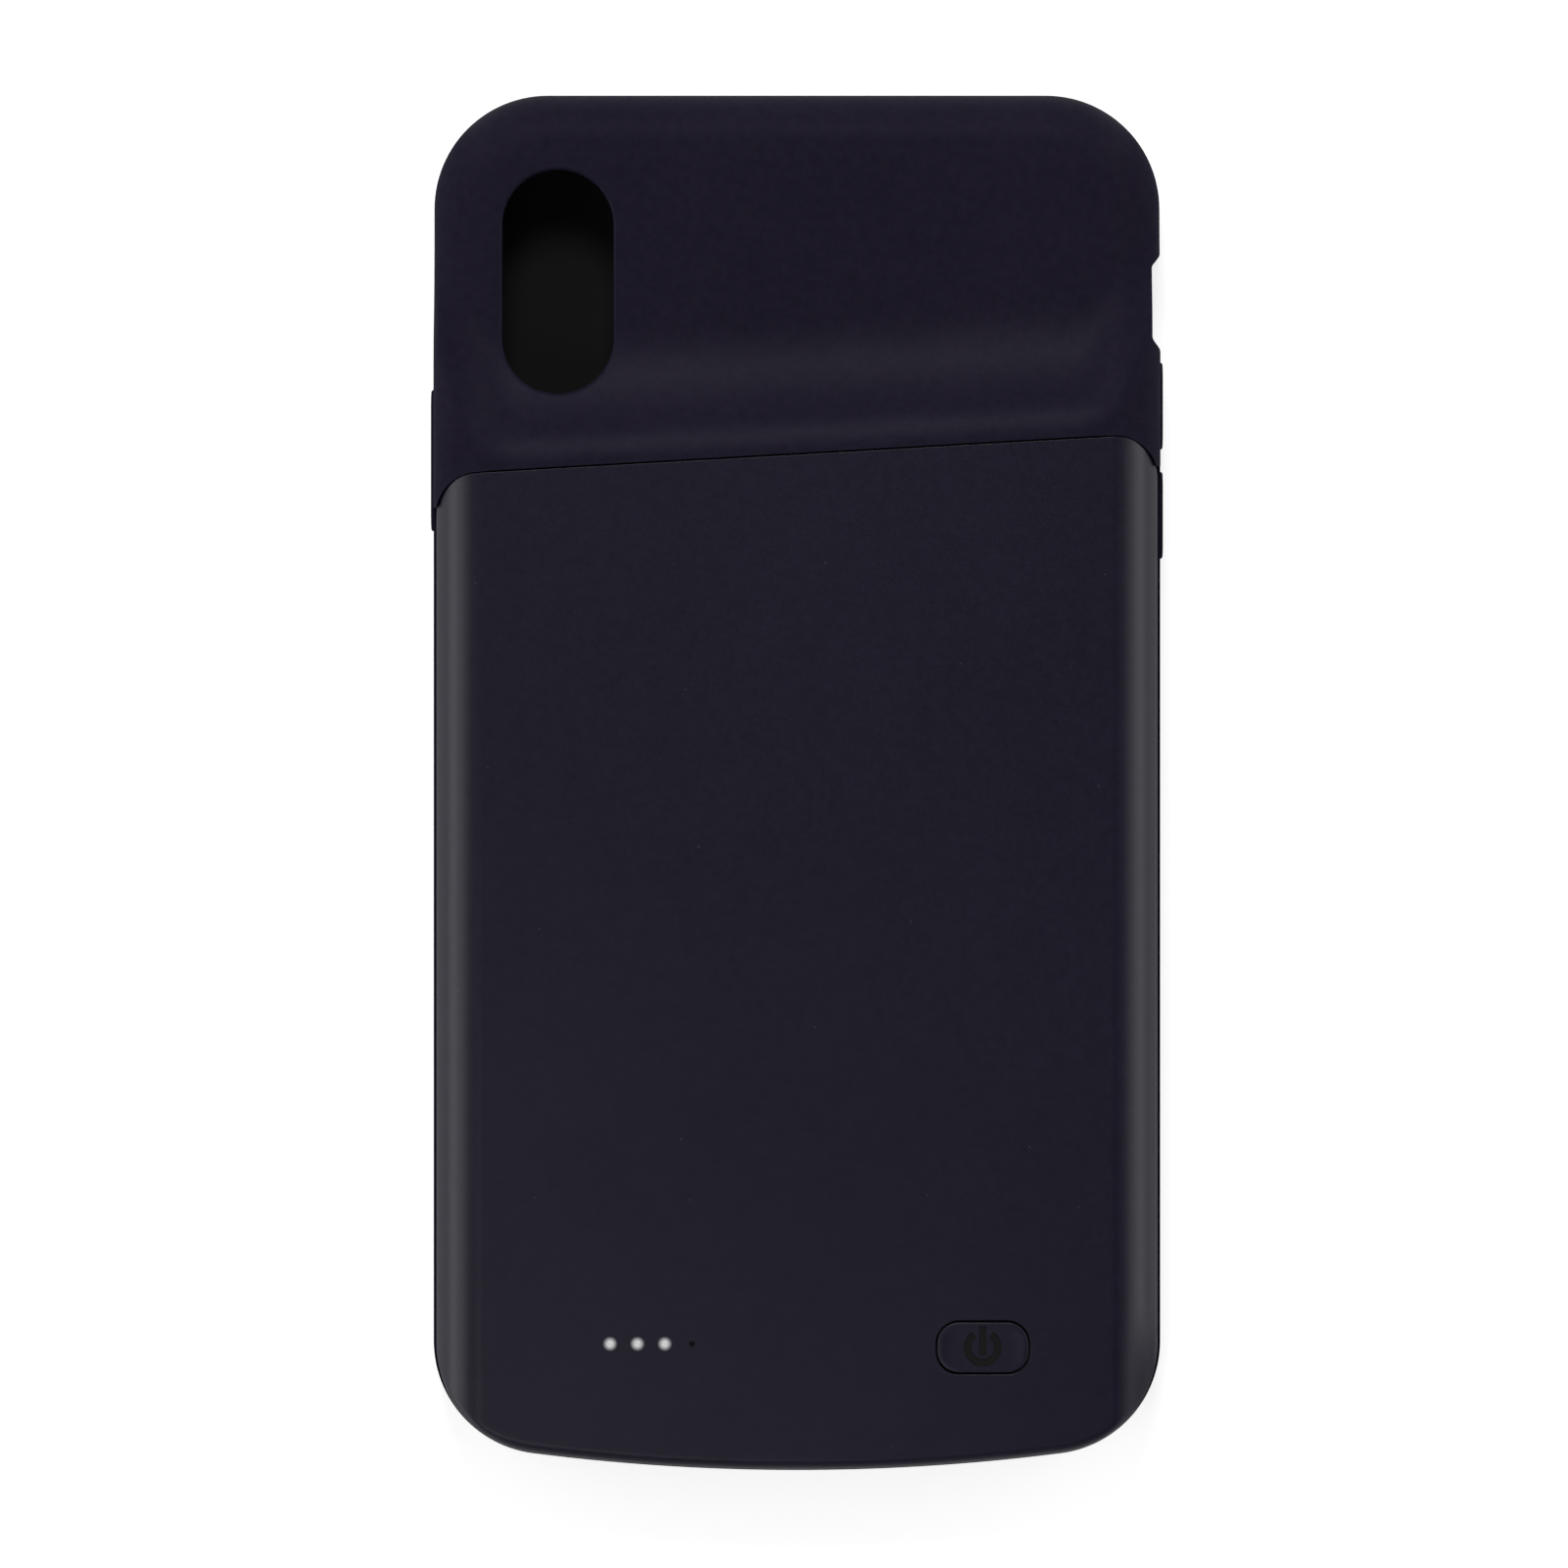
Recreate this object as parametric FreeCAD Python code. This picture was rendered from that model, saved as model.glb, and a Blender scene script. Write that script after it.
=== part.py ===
import FreeCAD, Part
import math
import os

# Battery case for a slim handheld device: a soft one-piece shell joined to a hard battery housing along a
# slanted seam. The case lies on its front rim, back up. X runs across the case, Y towards the camera end and
# Z out of the back. The origin is the centre of the footprint, on the surface that the rim rests on.
# All sizes are in millimetres.

# The device that the case holds
device_length = 136.6
device_width = 75.4
device_thickness = 7.9
device_corner = 10.2
device_clearance = 0.2
device_depth_clearance = 0.3

# Soft shell: walls, front lip and back
side_wall = 2.1
lip_thickness = 1.2
lip_overlap = 1.5
lip_bevel = 1.2
soft_back_wall = 2.0
edge_round = 5.2
chin_length = 12.4
chin_bow = 1.75

# Ramp from the thin back up to the battery housing
ramp_slope_deg = 35.0
crest_margin = 2.2
plateau_width = 0.25

# Slanted seam between the soft shell and the housing
seam_height = 35.9
seam_angle_deg = 3.28
seam_gap = 0.2
seam_corner = 4.6
horn_cutback = 1.2
housing_inset = 0.35

# Camera window
camera_x = -26.3
camera_from_top = 20.7
camera_width = 12.2
camera_length = 24.6
camera_bevel = 0.4

# Side controls: ringer notch, and the pads moulded over the device's buttons
notch_from_top = 23.0
notch_length = 7.6
notch_recess = 0.95
notch_flare = 1.7
notch_low = 2.4
notch_high = 9.1
pad_height = 0.4
pad_width = 3.4
pad_edge = 0.25
pad_web = 1.2
pad_pocket_margin = 0.7
lock_pad_from_top = 40.25
lock_pad_length = 15.6
volume_up_from_top = 34.25
volume_down_from_top = 46.3
volume_pad_length = 9.6

# Overmould joint: the tray's flange under the soft shell, with soft pegs through its holes
flange_reach = 6.0
flange_root = 4.0
flange_width = 66.0
flange_clearance = 0.1
peg_radius = 1.2
peg_spacing = 24.0
peg_count = 3
peg_rise = 3.0

# Housing: tray and cover
tray_wall = 1.2
cover_wall = 1.3
cover_end_round = 1.0
cover_seam_round = 0.3
rim_rib_width = 0.8
rim_rib_height = 1.2
fit_gap = 0.1

# Battery cell
cell_width = 64.0
cell_thickness = 3.6
cell_edge = 0.9
cell_top_margin = 4.5
cell_lead_room = 4.05
cell_headroom = 0.2
tape_thickness = 0.3
tape_margin = 5.0
terrace_length = 3.4
terrace_thickness = 0.5
terrace_width = 40.0
protection_length = 28.0
protection_depth = 2.4
protection_thickness = 0.6
tab_width = 4.0
tab_spacing = 9.0
tab_thickness = 0.15
bay_rib_width = 0.9
bay_rib_height = 2.0
bay_clearance = 0.4
bay_gap = 46.0

# Leads from the cell to the main board
lead_radius = 0.5
lead_spacing = 5.0
lead_overlap = 2.0

# Main board
board_thickness = 0.8
board_width = 60.0
board_depth = 17.0
board_from_bottom = 4.8
board_standoff = 0.8
boss_radius = 1.7
screw_radius = 0.5
screw_depth = 1.6
screw_head_radius = 1.1
screw_head_height = 0.5
screw_edge = 2.4

# Charge indicator
led_count = 4
led_pitch = 3.0
led_first_x = -20.5
led_from_bottom = 14.15
led_length = 1.6
led_width = 0.8
led_height = 0.6
pinhole_radius = 0.3
guide_clearance = 0.05
guide_width = 2.4
guide_thickness = 0.8
guide_lift = 0.4
guide_leg = 1.0
guide_overhang = 2.2

# Power button and its switch
button_x = 20.4
button_from_bottom = 13.75
button_length = 9.9
button_width = 5.45
button_corner = 2.3
button_gap = 0.3
button_flange = 0.7
button_flange_thickness = 0.7
button_stop_gap = 0.05
button_edge = 0.15
button_travel = 0.3
switch_size = 5.2
switch_height = 1.2
switch_floor = 0.3
plunger_radius = 1.0
plunger_clearance = 0.08
plunger_rise = 0.3
plunger_spare = 0.15

# Parts on the main board
chip_size = 4.0
chip_height = 0.9
inductor_size = 5.0
inductor_height = 1.8
part_spacing = 7.0
capacitor_count = 6
capacitor_pitch = 2.2
capacitor_length = 1.6
capacitor_width = 0.8
capacitor_height = 0.8

# Chin: plug, charging port, their board and the sound ducts
chin_wall = 1.2
well_half_width = 11.5
shelf_width = 1.2
chin_board_thickness = 0.6
chin_board_clearance = 0.3
plug_width = 8.25
plug_height = 2.4
plug_length = 6.65
plug_skin = 0.3
plug_slot_height = 1.0
plug_base_width = 10.0
plug_base_height = 3.3
plug_base_depth = 3.6
port_width = 8.94
port_height = 3.16
port_depth = 6.5
port_skin = 0.3
port_base = 1.2
port_tongue_width = 6.7
port_tongue_thickness = 0.7
port_tongue_setback = 0.8
port_window_margin = 1.8
flex_width = 6.0
flex_thickness = 0.2
flex_run = 3.4
duct_inner = 13.0
duct_length = 14.0
duct_depth = 6.4
duct_height = 3.4
slot_count = 4
slot_pitch = 2.6
slot_width = 1.2
slot_length = 3.8
slot_from_bottom = 6.6

# Levels and edges that follow from the sizes above
case_width = device_width + 2 * (device_clearance + side_wall)
case_length = device_length + 2 * device_clearance + side_wall + chin_length
corner_radius = device_corner + device_clearance + side_wall
half_width = case_width / 2
top_y = case_length / 2
bottom_y = -case_length / 2
cavity_half = half_width - side_wall
cavity_top = top_y - side_wall
cavity_bottom = bottom_y + chin_length
seat_z = lip_thickness + device_thickness + device_depth_clearance
thin_z = seat_z + soft_back_wall
tray_z = seat_z + tray_wall
cell_z = tray_z + tape_thickness
ceiling_z = cell_z + cell_thickness + cell_headroom
back_z = ceiling_z + cover_wall
board_z = tray_z + board_standoff
board_top_z = board_z + board_thickness
plug_z = lip_thickness + (device_thickness + device_depth_clearance) / 2
crest_radius = edge_round + crest_margin
far = 2 * case_length

corner_x = half_width - corner_radius
upper_corner_y = top_y - corner_radius
lower_corner_y = bottom_y + chin_bow + corner_radius
bow_radius = (corner_x**2 + (lower_corner_y - bottom_y)**2 - corner_radius**2) / (2 * chin_bow)
bow_y = bottom_y + bow_radius
bow_angle_deg = math.degrees(math.atan2(lower_corner_y - bow_y, corner_x))

seam_y = seam_height
seam_angle = math.radians(seam_angle_deg)
seam_along = FreeCAD.Vector(math.cos(seam_angle), math.sin(seam_angle), 0)
seam_across = FreeCAD.Vector(-seam_along.y, seam_along.x, 0)
up = FreeCAD.Vector(0, 0, 1)


def point(x, y, z=0.0):
    """A point in the case's frame."""
    return FreeCAD.Vector(x, y, z)


def seam_point(along, across, z=0.0):
    """A point measured along the slanted seam and across it, towards the camera end."""
    return point(0, seam_y, z) + seam_along * along + seam_across * across


def line(a, b):
    """A straight edge."""
    return Part.makeLine(a, b)


def arc(x, y, radius, start_deg, end_deg, z):
    """A level arc about x, y, from one angle to another."""
    def at(deg):
        return point(x + radius * math.cos(math.radians(deg)), y + radius * math.sin(math.radians(deg)), z)
    return Part.Arc(at(start_deg), at((start_deg + end_deg) / 2), at(end_deg)).toShape()


def extrude(edges, direction):
    """A solid from a closed run of edges."""
    return Part.Face(Part.Wire(edges)).extrude(direction)


def polygon(points, direction):
    """A solid from a closed run of straight edges."""
    return Part.Face(Part.makePolygon(points + points[:1])).extrude(direction)


def box(x0, x1, y0, y1, z0, z1):
    """A block between two corners."""
    return Part.makeBox(x1 - x0, y1 - y0, z1 - z0, point(x0, y0, z0))


def block(x, y, z, length, width, height):
    """A block centred on x, y and standing on z."""
    return box(x - length / 2, x + length / 2, y - width / 2, y + width / 2, z, z + height)


def cylinder(x, y, z0, z1, radius):
    """An upright cylinder."""
    return Part.makeCylinder(radius, z1 - z0, point(x, y, z0))


def rounded_block(x, y, length, width, corner, z0, z1):
    """An upright block with round corners, centred on x, y."""
    ends = length / 2 - corner
    sides = width / 2 - corner
    corners = [(ends, sides, 0), (-ends, sides, 90), (-ends, -sides, 180), (ends, -sides, 270)]
    arcs = [arc(x + dx, y + dy, corner, deg, deg + 90, z0) for dx, dy, deg in corners]
    edges = []
    for current, following in zip(arcs, arcs[1:] + arcs[:1]):
        edges.append(current)
        start, end = current.Vertexes[-1].Point, following.Vertexes[0].Point
        if start.distanceToPoint(end) > 1e-6:
            edges.append(line(start, end))
    return extrude(edges, up * (z1 - z0))


def pill_along_y(width, height, y0, y1, z):
    """A bar with an oval section, lying along Y with its axis at x = 0 and height z."""
    bar = rounded_block(0, 0, width, height, height / 2, 0, y1 - y0)
    bar.rotate(point(0, 0), point(1, 0), -90)
    bar.translate(point(0, y0, z))
    return bar


def pad_block(side, y, length, width, x0, x1, z):
    """An oval pad on a side wall, from x0 to x1 out along X, on the left or right side."""
    pad = rounded_block(0, 0, width, length, width / 2, x0, x1)
    pad.rotate(point(0, 0), point(0, 1), 90)
    if side < 0:
        pad.rotate(point(0, 0), up, 180)
    pad.translate(point(0, y, z))
    return pad


def case_prism(inset, z0, z1):
    """The case's plan, moved inwards by inset, as an upright solid."""
    x = half_width - inset
    r = corner_radius - inset
    edges = [
        arc(corner_x, lower_corner_y, r, bow_angle_deg, 0, z0),
        line(point(x, lower_corner_y, z0), point(x, upper_corner_y, z0)),
        arc(corner_x, upper_corner_y, r, 0, 90, z0),
        line(point(corner_x, top_y - inset, z0), point(-corner_x, top_y - inset, z0)),
        arc(-corner_x, upper_corner_y, r, 90, 180, z0),
        line(point(-x, upper_corner_y, z0), point(-x, lower_corner_y, z0)),
        arc(-corner_x, lower_corner_y, r, 180, 180 - bow_angle_deg, z0),
        arc(0, bow_y, bow_radius - inset, -180 - bow_angle_deg, bow_angle_deg, z0),
    ]
    return extrude(edges, up * (z1 - z0))


def below_seam(across, z0, z1):
    """Everything on the chin's side of a line parallel to the seam."""
    corners = [seam_point(-far, across, z0), seam_point(far, across, z0),
               seam_point(far, across - far, z0), seam_point(-far, across - far, z0)]
    return polygon(corners, up * (z1 - z0))


def housing_prism(inset, z0, z1):
    """The battery housing's plan, moved inwards by inset, with round corners at the seam."""
    prism = case_prism(housing_inset + inset, z0, z1).common(below_seam(-inset, z0, z1))
    corners = []
    for edge in prism.Edges:
        low, high = edge.Vertexes[0].Point, edge.Vertexes[-1].Point
        upright = math.hypot(low.x - high.x, low.y - high.y) < 1e-6
        across = (low - seam_point(0, 0)).dot(seam_across)
        if upright and abs(across + inset) < 1e-4:
            corners.append(edge)
    return prism.makeFillet(seam_corner - inset, corners)


def on_outline(p):
    """Whether a point lies on the case's outer wall."""
    on_side = abs(abs(p.x) - half_width) < 1e-3
    on_top = abs(p.y - top_y) < 1e-3
    from_corner = math.hypot(abs(p.x) - corner_x, p.y - upper_corner_y)
    on_corner = p.y > upper_corner_y and abs(from_corner - corner_radius) < 1e-3
    return on_side or on_top or on_corner


def edges_at(shape, z):
    """The edges of a shape that lie wholly at one height."""
    return [e for e in shape.Edges if all(abs(v.Z - z) < 1e-4 for v in e.Vertexes)]


def middle(edge):
    """The point halfway along an edge."""
    return edge.valueAt((edge.FirstParameter + edge.LastParameter) / 2)


def ramp_tool():
    """What is cut from a full-height block to leave the thin back and the ramp down to it."""
    drop = back_z - thin_z
    slope = math.radians(ramp_slope_deg)
    foot_radius = drop / (1 - math.cos(slope)) - crest_radius
    foot = plateau_width + (crest_radius + foot_radius) * math.sin(slope)

    def crest(angle):
        return seam_point(-far, plateau_width + crest_radius * math.sin(angle),
                          back_z - crest_radius * (1 - math.cos(angle)))

    def hollow(angle):
        return seam_point(-far, foot - foot_radius * math.sin(angle),
                          thin_z + foot_radius * (1 - math.cos(angle)))

    high = back_z + far
    start, end = seam_point(-far, plateau_width, high), seam_point(-far, far, high)
    edges = [
        line(start, crest(0)),
        Part.Arc(crest(0), crest(slope / 2), crest(slope)).toShape(),
        Part.Arc(hollow(slope), hollow(slope / 2), hollow(0)).toShape(),
        line(hollow(0), seam_point(-far, far, thin_z)),
        line(seam_point(-far, far, thin_z), end),
        line(end, start),
    ]
    return extrude(edges, seam_along * (2 * far))


def upper_block():
    """The camera end of the shell as a solid: thin back, ramp and one rolled edge round the back."""
    block_z = case_prism(0, 0, back_z).cut(below_seam(horn_cutback - seam_corner, 0, back_z))
    block_z = block_z.cut(ramp_tool())
    rolled = [e for e in block_z.Edges
              if on_outline(middle(e)) and min(v.Z for v in e.Vertexes) > thin_z - 1e-3]
    return block_z.makeFillet(edge_round, rolled)


def side_pads():
    """Each button pad as side, centre and length."""
    return [(-1, top_y - lock_pad_from_top, lock_pad_length),
            (1, top_y - volume_up_from_top, volume_pad_length),
            (1, top_y - volume_down_from_top, volume_pad_length)]


def pad_solids():
    """The pads that stand out of the side walls, with soft edges."""
    pads = []
    for side, y, length in side_pads():
        pad = pad_block(side, y, length, pad_width, half_width - side_wall / 2, half_width + pad_height,
                        plug_z)
        face_x = side * (half_width + pad_height)
        rim = [e for e in pad.Edges if all(abs(v.X - face_x) < 1e-4 for v in e.Vertexes)]
        pads.append(pad.makeChamfer(pad_edge, rim))
    return pads


def pad_pockets():
    """Hollows behind the pads, where the device's own buttons stand."""
    return [pad_block(side, y, length - 2 * pad_pocket_margin, pad_width - 2 * pad_pocket_margin,
                      cavity_half - side_wall, half_width + pad_height - pad_web, plug_z)
            for side, y, length in side_pads()]


def ringer_notch():
    """The cuts for the device's ringer switch: a flared recess down the side wall, and a hole in its floor."""
    y = top_y - notch_from_top
    short, long = notch_length / 2, notch_length / 2 + notch_flare
    floor, edge, outside = half_width - notch_recess, half_width, half_width + pad_height
    corners = [point(floor, y - short, -1), point(edge, y - long, -1), point(outside, y - long, -1),
               point(outside, y + long, -1), point(edge, y + long, -1), point(floor, y + short, -1)]
    recess = polygon(corners, up * (back_z + 1))
    hole = box(cavity_half - side_wall, outside, y - short, y + short, notch_low, notch_high)
    return [recess, hole]


def camera_cut():
    """The camera window, an upright oval through the back."""
    return rounded_block(camera_x, top_y - camera_from_top, camera_width, camera_length, camera_width / 2,
                         seat_z - 1, back_z + 1)


def soften_window(shape):
    """The shell with the camera window's outer edge bevelled."""
    y = top_y - camera_from_top
    straight = camera_length / 2 - camera_width / 2
    rim = []
    for edge in shape.Edges:
        at = middle(edge)
        off_axis = max(abs(at.y - y) - straight, 0)
        on_window = abs(math.hypot(at.x - camera_x, off_axis) - camera_width / 2) < 1e-3
        if on_window and min(v.Z for v in edge.Vertexes) > thin_z - 1e-3:
            rim.append(edge)
    return shape.makeChamfer(camera_bevel, rim)


def flange_block(grow, z0, z1):
    """The tray's flange past the seam, or the rebate for it."""
    half = flange_width / 2 + grow
    reach = flange_reach + grow
    corners = [seam_point(-half, -flange_root, z0), seam_point(half, -flange_root, z0),
               seam_point(half, reach, z0), seam_point(-half, reach, z0)]
    return polygon(corners, up * (z1 - z0))


def pegs(radius, z0, z1):
    """Upright pegs or holes in a row along the flange."""
    row = []
    for index in range(peg_count):
        at = seam_point((index - (peg_count - 1) / 2) * peg_spacing, peg_rise)
        row.append(cylinder(at.x, at.y, z0, z1, radius))
    return row


def front_window():
    """The opening between the lips, in front of the device's screen."""
    low, high = cavity_bottom + lip_overlap, cavity_top - lip_overlap
    return rounded_block(0, (low + high) / 2, 2 * (cavity_half - lip_overlap), high - low,
                         device_corner + device_clearance - lip_overlap, -1, lip_thickness + 1e-2)


def sound_slots():
    """Slots through the front of the chin, over the sound ducts."""
    slots = []
    for side in (-1, 1):
        for index in range(slot_count):
            x = side * (duct_inner + duct_length / 2) + (index - (slot_count - 1) / 2) * slot_pitch
            y = bottom_y + slot_from_bottom
            slots.append(block(x, y, -1, slot_width, slot_length, lip_thickness + 1))
    return slots


def make_soft_shell():
    """One soft moulding: the rim round the device, the chin's front and the back down to the seam."""
    outer = upper_block().fuse(case_prism(0, 0, seat_z)).removeSplitter()
    outer = outer.makeChamfer(lip_bevel, edges_at(outer, 0))
    outer = soften_window(outer.cut(camera_cut()))
    outer = outer.fuse(pad_solids())
    soft = outer.cut(case_prism(side_wall, lip_thickness, seat_z))
    port = pill_along_y(port_width + 2 * port_window_margin, port_height + 2 * port_window_margin,
                        bottom_y - 1, bottom_y + side_wall + chin_bow, plug_z)
    cuts = [housing_prism(-seam_gap, seat_z, back_z + 1), front_window(), port, *ringer_notch(),
            flange_block(flange_clearance, seat_z - 1e-2, tray_z + flange_clearance)]
    soft = soft.cut(cuts + pad_pockets() + sound_slots())
    soft = soft.fuse(pegs(peg_radius, seat_z, tray_z + 2 * flange_clearance))
    return soft.removeSplitter()


def side_profile(wall):
    """A long bar with the housing's section: flat back, rolled long edges, moved inwards by wall."""
    x = half_width - housing_inset - wall
    z = back_z - wall
    r = edge_round - wall
    bend = math.sqrt(0.5)

    def rolled(side, along, rise):
        return point(side * (x - r + r * along), -far, z - r + r * rise)

    edges = [line(point(-x, -far, 0), rolled(-1, 1, 0)),
             Part.Arc(rolled(-1, 1, 0), rolled(-1, bend, bend), rolled(-1, 0, 1)).toShape(),
             line(rolled(-1, 0, 1), rolled(1, 0, 1)),
             Part.Arc(rolled(1, 0, 1), rolled(1, bend, bend), rolled(1, 1, 0)).toShape(),
             line(rolled(1, 1, 0), point(x, -far, 0)),
             line(point(x, -far, 0), point(-x, -far, 0))]
    return extrude(edges, point(0, 2 * far, 0))


def led_places():
    """The centre of each charge light."""
    return [(led_first_x + index * led_pitch, bottom_y + led_from_bottom) for index in range(led_count)]


def button_place():
    """The centre of the power button."""
    return button_x, bottom_y + button_from_bottom


def make_battery_cover():
    """The hard outer half of the housing, a shallow shell with a flat back and rolled long edges."""
    outer = housing_prism(0, tray_z, back_z)
    outer = outer.makeFillet(cover_seam_round, edges_at(outer, back_z)).common(side_profile(0))
    rounded_end = case_prism(housing_inset, tray_z, back_z)
    outer = outer.common(rounded_end.makeFillet(cover_end_round, edges_at(rounded_end, back_z)))
    inner = housing_prism(cover_wall, tray_z - 1, ceiling_z).common(side_profile(cover_wall))
    cover = outer.cut(inner)
    x, y = button_place()
    cuts = [rounded_block(x, y, button_length + 2 * button_gap, button_width + 2 * button_gap,
                          button_corner + button_gap, ceiling_z - 1, back_z + 1)]
    cuts += [cylinder(led_x, led_y, ceiling_z - 1, back_z + 1, pinhole_radius)
             for led_x, led_y in led_places()]
    return cover.cut(cuts).removeSplitter()


def board_centre_y():
    """The middle of the main board along the case."""
    return bottom_y + board_from_bottom + board_depth / 2


def screw_places():
    """The main board's screws, one near each end."""
    x = board_width / 2 - screw_edge
    return [(-x, board_centre_y()), (x, board_centre_y())]


def cell_span():
    """The cell's lower and upper end along the case, between the main board and the seam's low end."""
    seam_low = seam_y - half_width * math.tan(seam_angle)
    low = board_centre_y() + board_depth / 2 + cell_lead_room
    return low, seam_low - cell_top_margin


def bay_ribs():
    """Ribs on the tray round the cell, open at the lead end."""
    low, high = cell_span()
    x = cell_width / 2 + bay_clearance
    z0, z1 = tray_z, tray_z + bay_rib_height
    outer = box(-x - bay_rib_width, x + bay_rib_width, low - bay_clearance - bay_rib_width,
                high + bay_clearance + bay_rib_width, z0, z1)
    inner = box(-x, x, low - bay_clearance, high + bay_clearance, z0, z1)
    gate = box(-bay_gap / 2, bay_gap / 2, low - far, low, z0, z1)
    return outer.cut([inner, gate])


def chin_floor_y():
    """The inner face of the chin's end wall."""
    return bottom_y + side_wall + fit_gap + chin_wall


def make_inner_tray():
    """The hard inner half of the housing: the device's seat, the chin with its well, and ribs and bosses."""
    tray = housing_prism(0, seat_z, tray_z).fuse(flange_block(0, seat_z, tray_z))
    chin = case_prism(side_wall + fit_gap, lip_thickness, seat_z)
    cavity_middle = (cavity_bottom + far / 2)
    device_space = rounded_block(0, cavity_middle, 2 * cavity_half, far, device_corner + device_clearance,
                                lip_thickness - 1, seat_z)
    chin = chin.cut(device_space)
    tray = tray.fuse(chin).cut(pegs(peg_radius + fit_gap, seat_z - 1, tray_z + 1))
    rib_start = cover_wall + fit_gap
    rib = housing_prism(rib_start, tray_z, tray_z + rim_rib_height)
    rib = rib.cut(housing_prism(rib_start + rim_rib_width, tray_z, tray_z + rim_rib_height))
    rib = rib.common(side_profile(rib_start))
    bosses = [cylinder(x, y, tray_z, board_z, boss_radius) for x, y in screw_places()]
    tray = tray.fuse([rib, bay_ribs()] + bosses)
    shelf_z = plug_z + plug_base_height / 2
    well_top = cavity_bottom - chin_wall
    narrow = well_half_width - shelf_width
    wells = [box(-well_half_width, well_half_width, chin_floor_y(), well_top, shelf_z, tray_z + 1),
             box(-narrow, narrow, chin_floor_y(), well_top, lip_thickness + chin_wall, tray_z + 1)]
    plug_half = plug_base_width / 2 + fit_gap
    plug_hole = box(-plug_half, plug_half, well_top - 1, cavity_bottom + 1,
                    plug_z - plug_base_height / 2 - fit_gap, shelf_z + fit_gap)
    port_hole = pill_along_y(port_width + 2 * fit_gap, port_height + 2 * fit_gap, bottom_y,
                             chin_floor_y() + 1, plug_z)
    ducts = []
    for side in (-1, 1):
        x = side * (duct_inner + duct_length / 2)
        ducts.append(box(x - duct_length / 2, x + duct_length / 2, cavity_bottom - duct_depth,
                         cavity_bottom + 1, lip_thickness - 1, lip_thickness + duct_height))
    pilots = [cylinder(x, y, board_top_z - screw_depth, board_z + 1, screw_radius)
              for x, y in screw_places()]
    return tray.cut(wells + [plug_hole, port_hole] + ducts + pilots).removeSplitter()


def make_battery_cell():
    """The flat pouch cell, with the thin sealed edge that carries its tabs."""
    low, high = cell_span()
    start = low + terrace_length
    pouch = box(-cell_width / 2, cell_width / 2, start, high, cell_z, cell_z + cell_thickness)
    pouch = pouch.makeChamfer(cell_edge, pouch.Edges)
    terrace = box(-terrace_width / 2, terrace_width / 2, low, start + 2 * cell_edge,
                  terrace_top() - terrace_thickness, terrace_top())
    return pouch.fuse(terrace).removeSplitter()


def make_cell_tape():
    """Double-sided tape between the pouch and the tray."""
    low, high = cell_span()
    half = cell_width / 2 - tape_margin
    return box(-half, half, low + terrace_length + tape_margin, high - tape_margin, tray_z, cell_z)


def terrace_top():
    """The top of the cell's sealed edge, which sets the protection board level with the main board."""
    return board_top_z - protection_thickness - tab_thickness


def make_cell_tabs():
    """The cell's two metal tabs, lying on the sealed edge under the protection board."""
    low, high = cell_span()
    y = low + terrace_length / 2
    return Part.makeCompound([
        block(side * tab_spacing, y, terrace_top(), tab_width, terrace_length, tab_thickness)
        for side in (-1, 1)])


def make_protection_board():
    """The strip of circuit board across the tabs."""
    low, high = cell_span()
    return block(0, low + protection_depth / 2, terrace_top() + tab_thickness, protection_length,
                 protection_depth, protection_thickness)


def make_lead(side):
    """One insulated lead, lying across from the protection board to the main board."""
    low, high = cell_span()
    start = board_centre_y() + board_depth / 2 - lead_overlap
    end = low + protection_depth / 2
    foot = point(side * lead_spacing, start, board_top_z + lead_radius)
    return Part.makeCylinder(lead_radius, end - start, foot, point(0, 1))


def make_main_board():
    """The control board, on two bosses of the tray."""
    board = block(0, board_centre_y(), board_z, board_width, board_depth, board_thickness)
    holes = [cylinder(x, y, board_z - 1, board_top_z + 1, screw_radius + fit_gap) for x, y in screw_places()]
    return board.cut(holes)


def make_board_screws():
    """The small screws that hold the main board."""
    screws = []
    for x, y in screw_places():
        shank = cylinder(x, y, board_top_z - screw_depth, board_top_z, screw_radius)
        head = cylinder(x, y, board_top_z, board_top_z + screw_head_height, screw_head_radius)
        screws.append(shank.fuse(head))
    return Part.makeCompound(screws)


def make_led_chips():
    """One light for each step of charge."""
    return Part.makeCompound([
        block(x, y, board_top_z, led_length, led_width, led_height) for x, y in led_places()])


def make_light_guide():
    """A clear bar on two legs, with a pip up to the cover's face for each light."""
    places = led_places()
    x = (places[0][0] + places[-1][0]) / 2
    y = places[0][1]
    length = places[-1][0] - places[0][0] + 2 * guide_overhang
    z0 = board_top_z + led_height + guide_lift
    z1 = z0 + guide_thickness
    guide = block(x, y, z0, length, guide_width, guide_thickness)
    reach = (length - guide_leg) / 2
    legs = [block(x + side * reach, y, board_top_z, guide_leg, guide_leg, z0 - board_top_z)
            for side in (-1, 1)]
    pips = [cylinder(led_x, led_y, z1, back_z - guide_clearance, pinhole_radius - guide_clearance)
            for led_x, led_y in places]
    return guide.fuse(legs + pips).removeSplitter()


def switch_top():
    """The top of the switch body."""
    return board_top_z + switch_height


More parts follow.
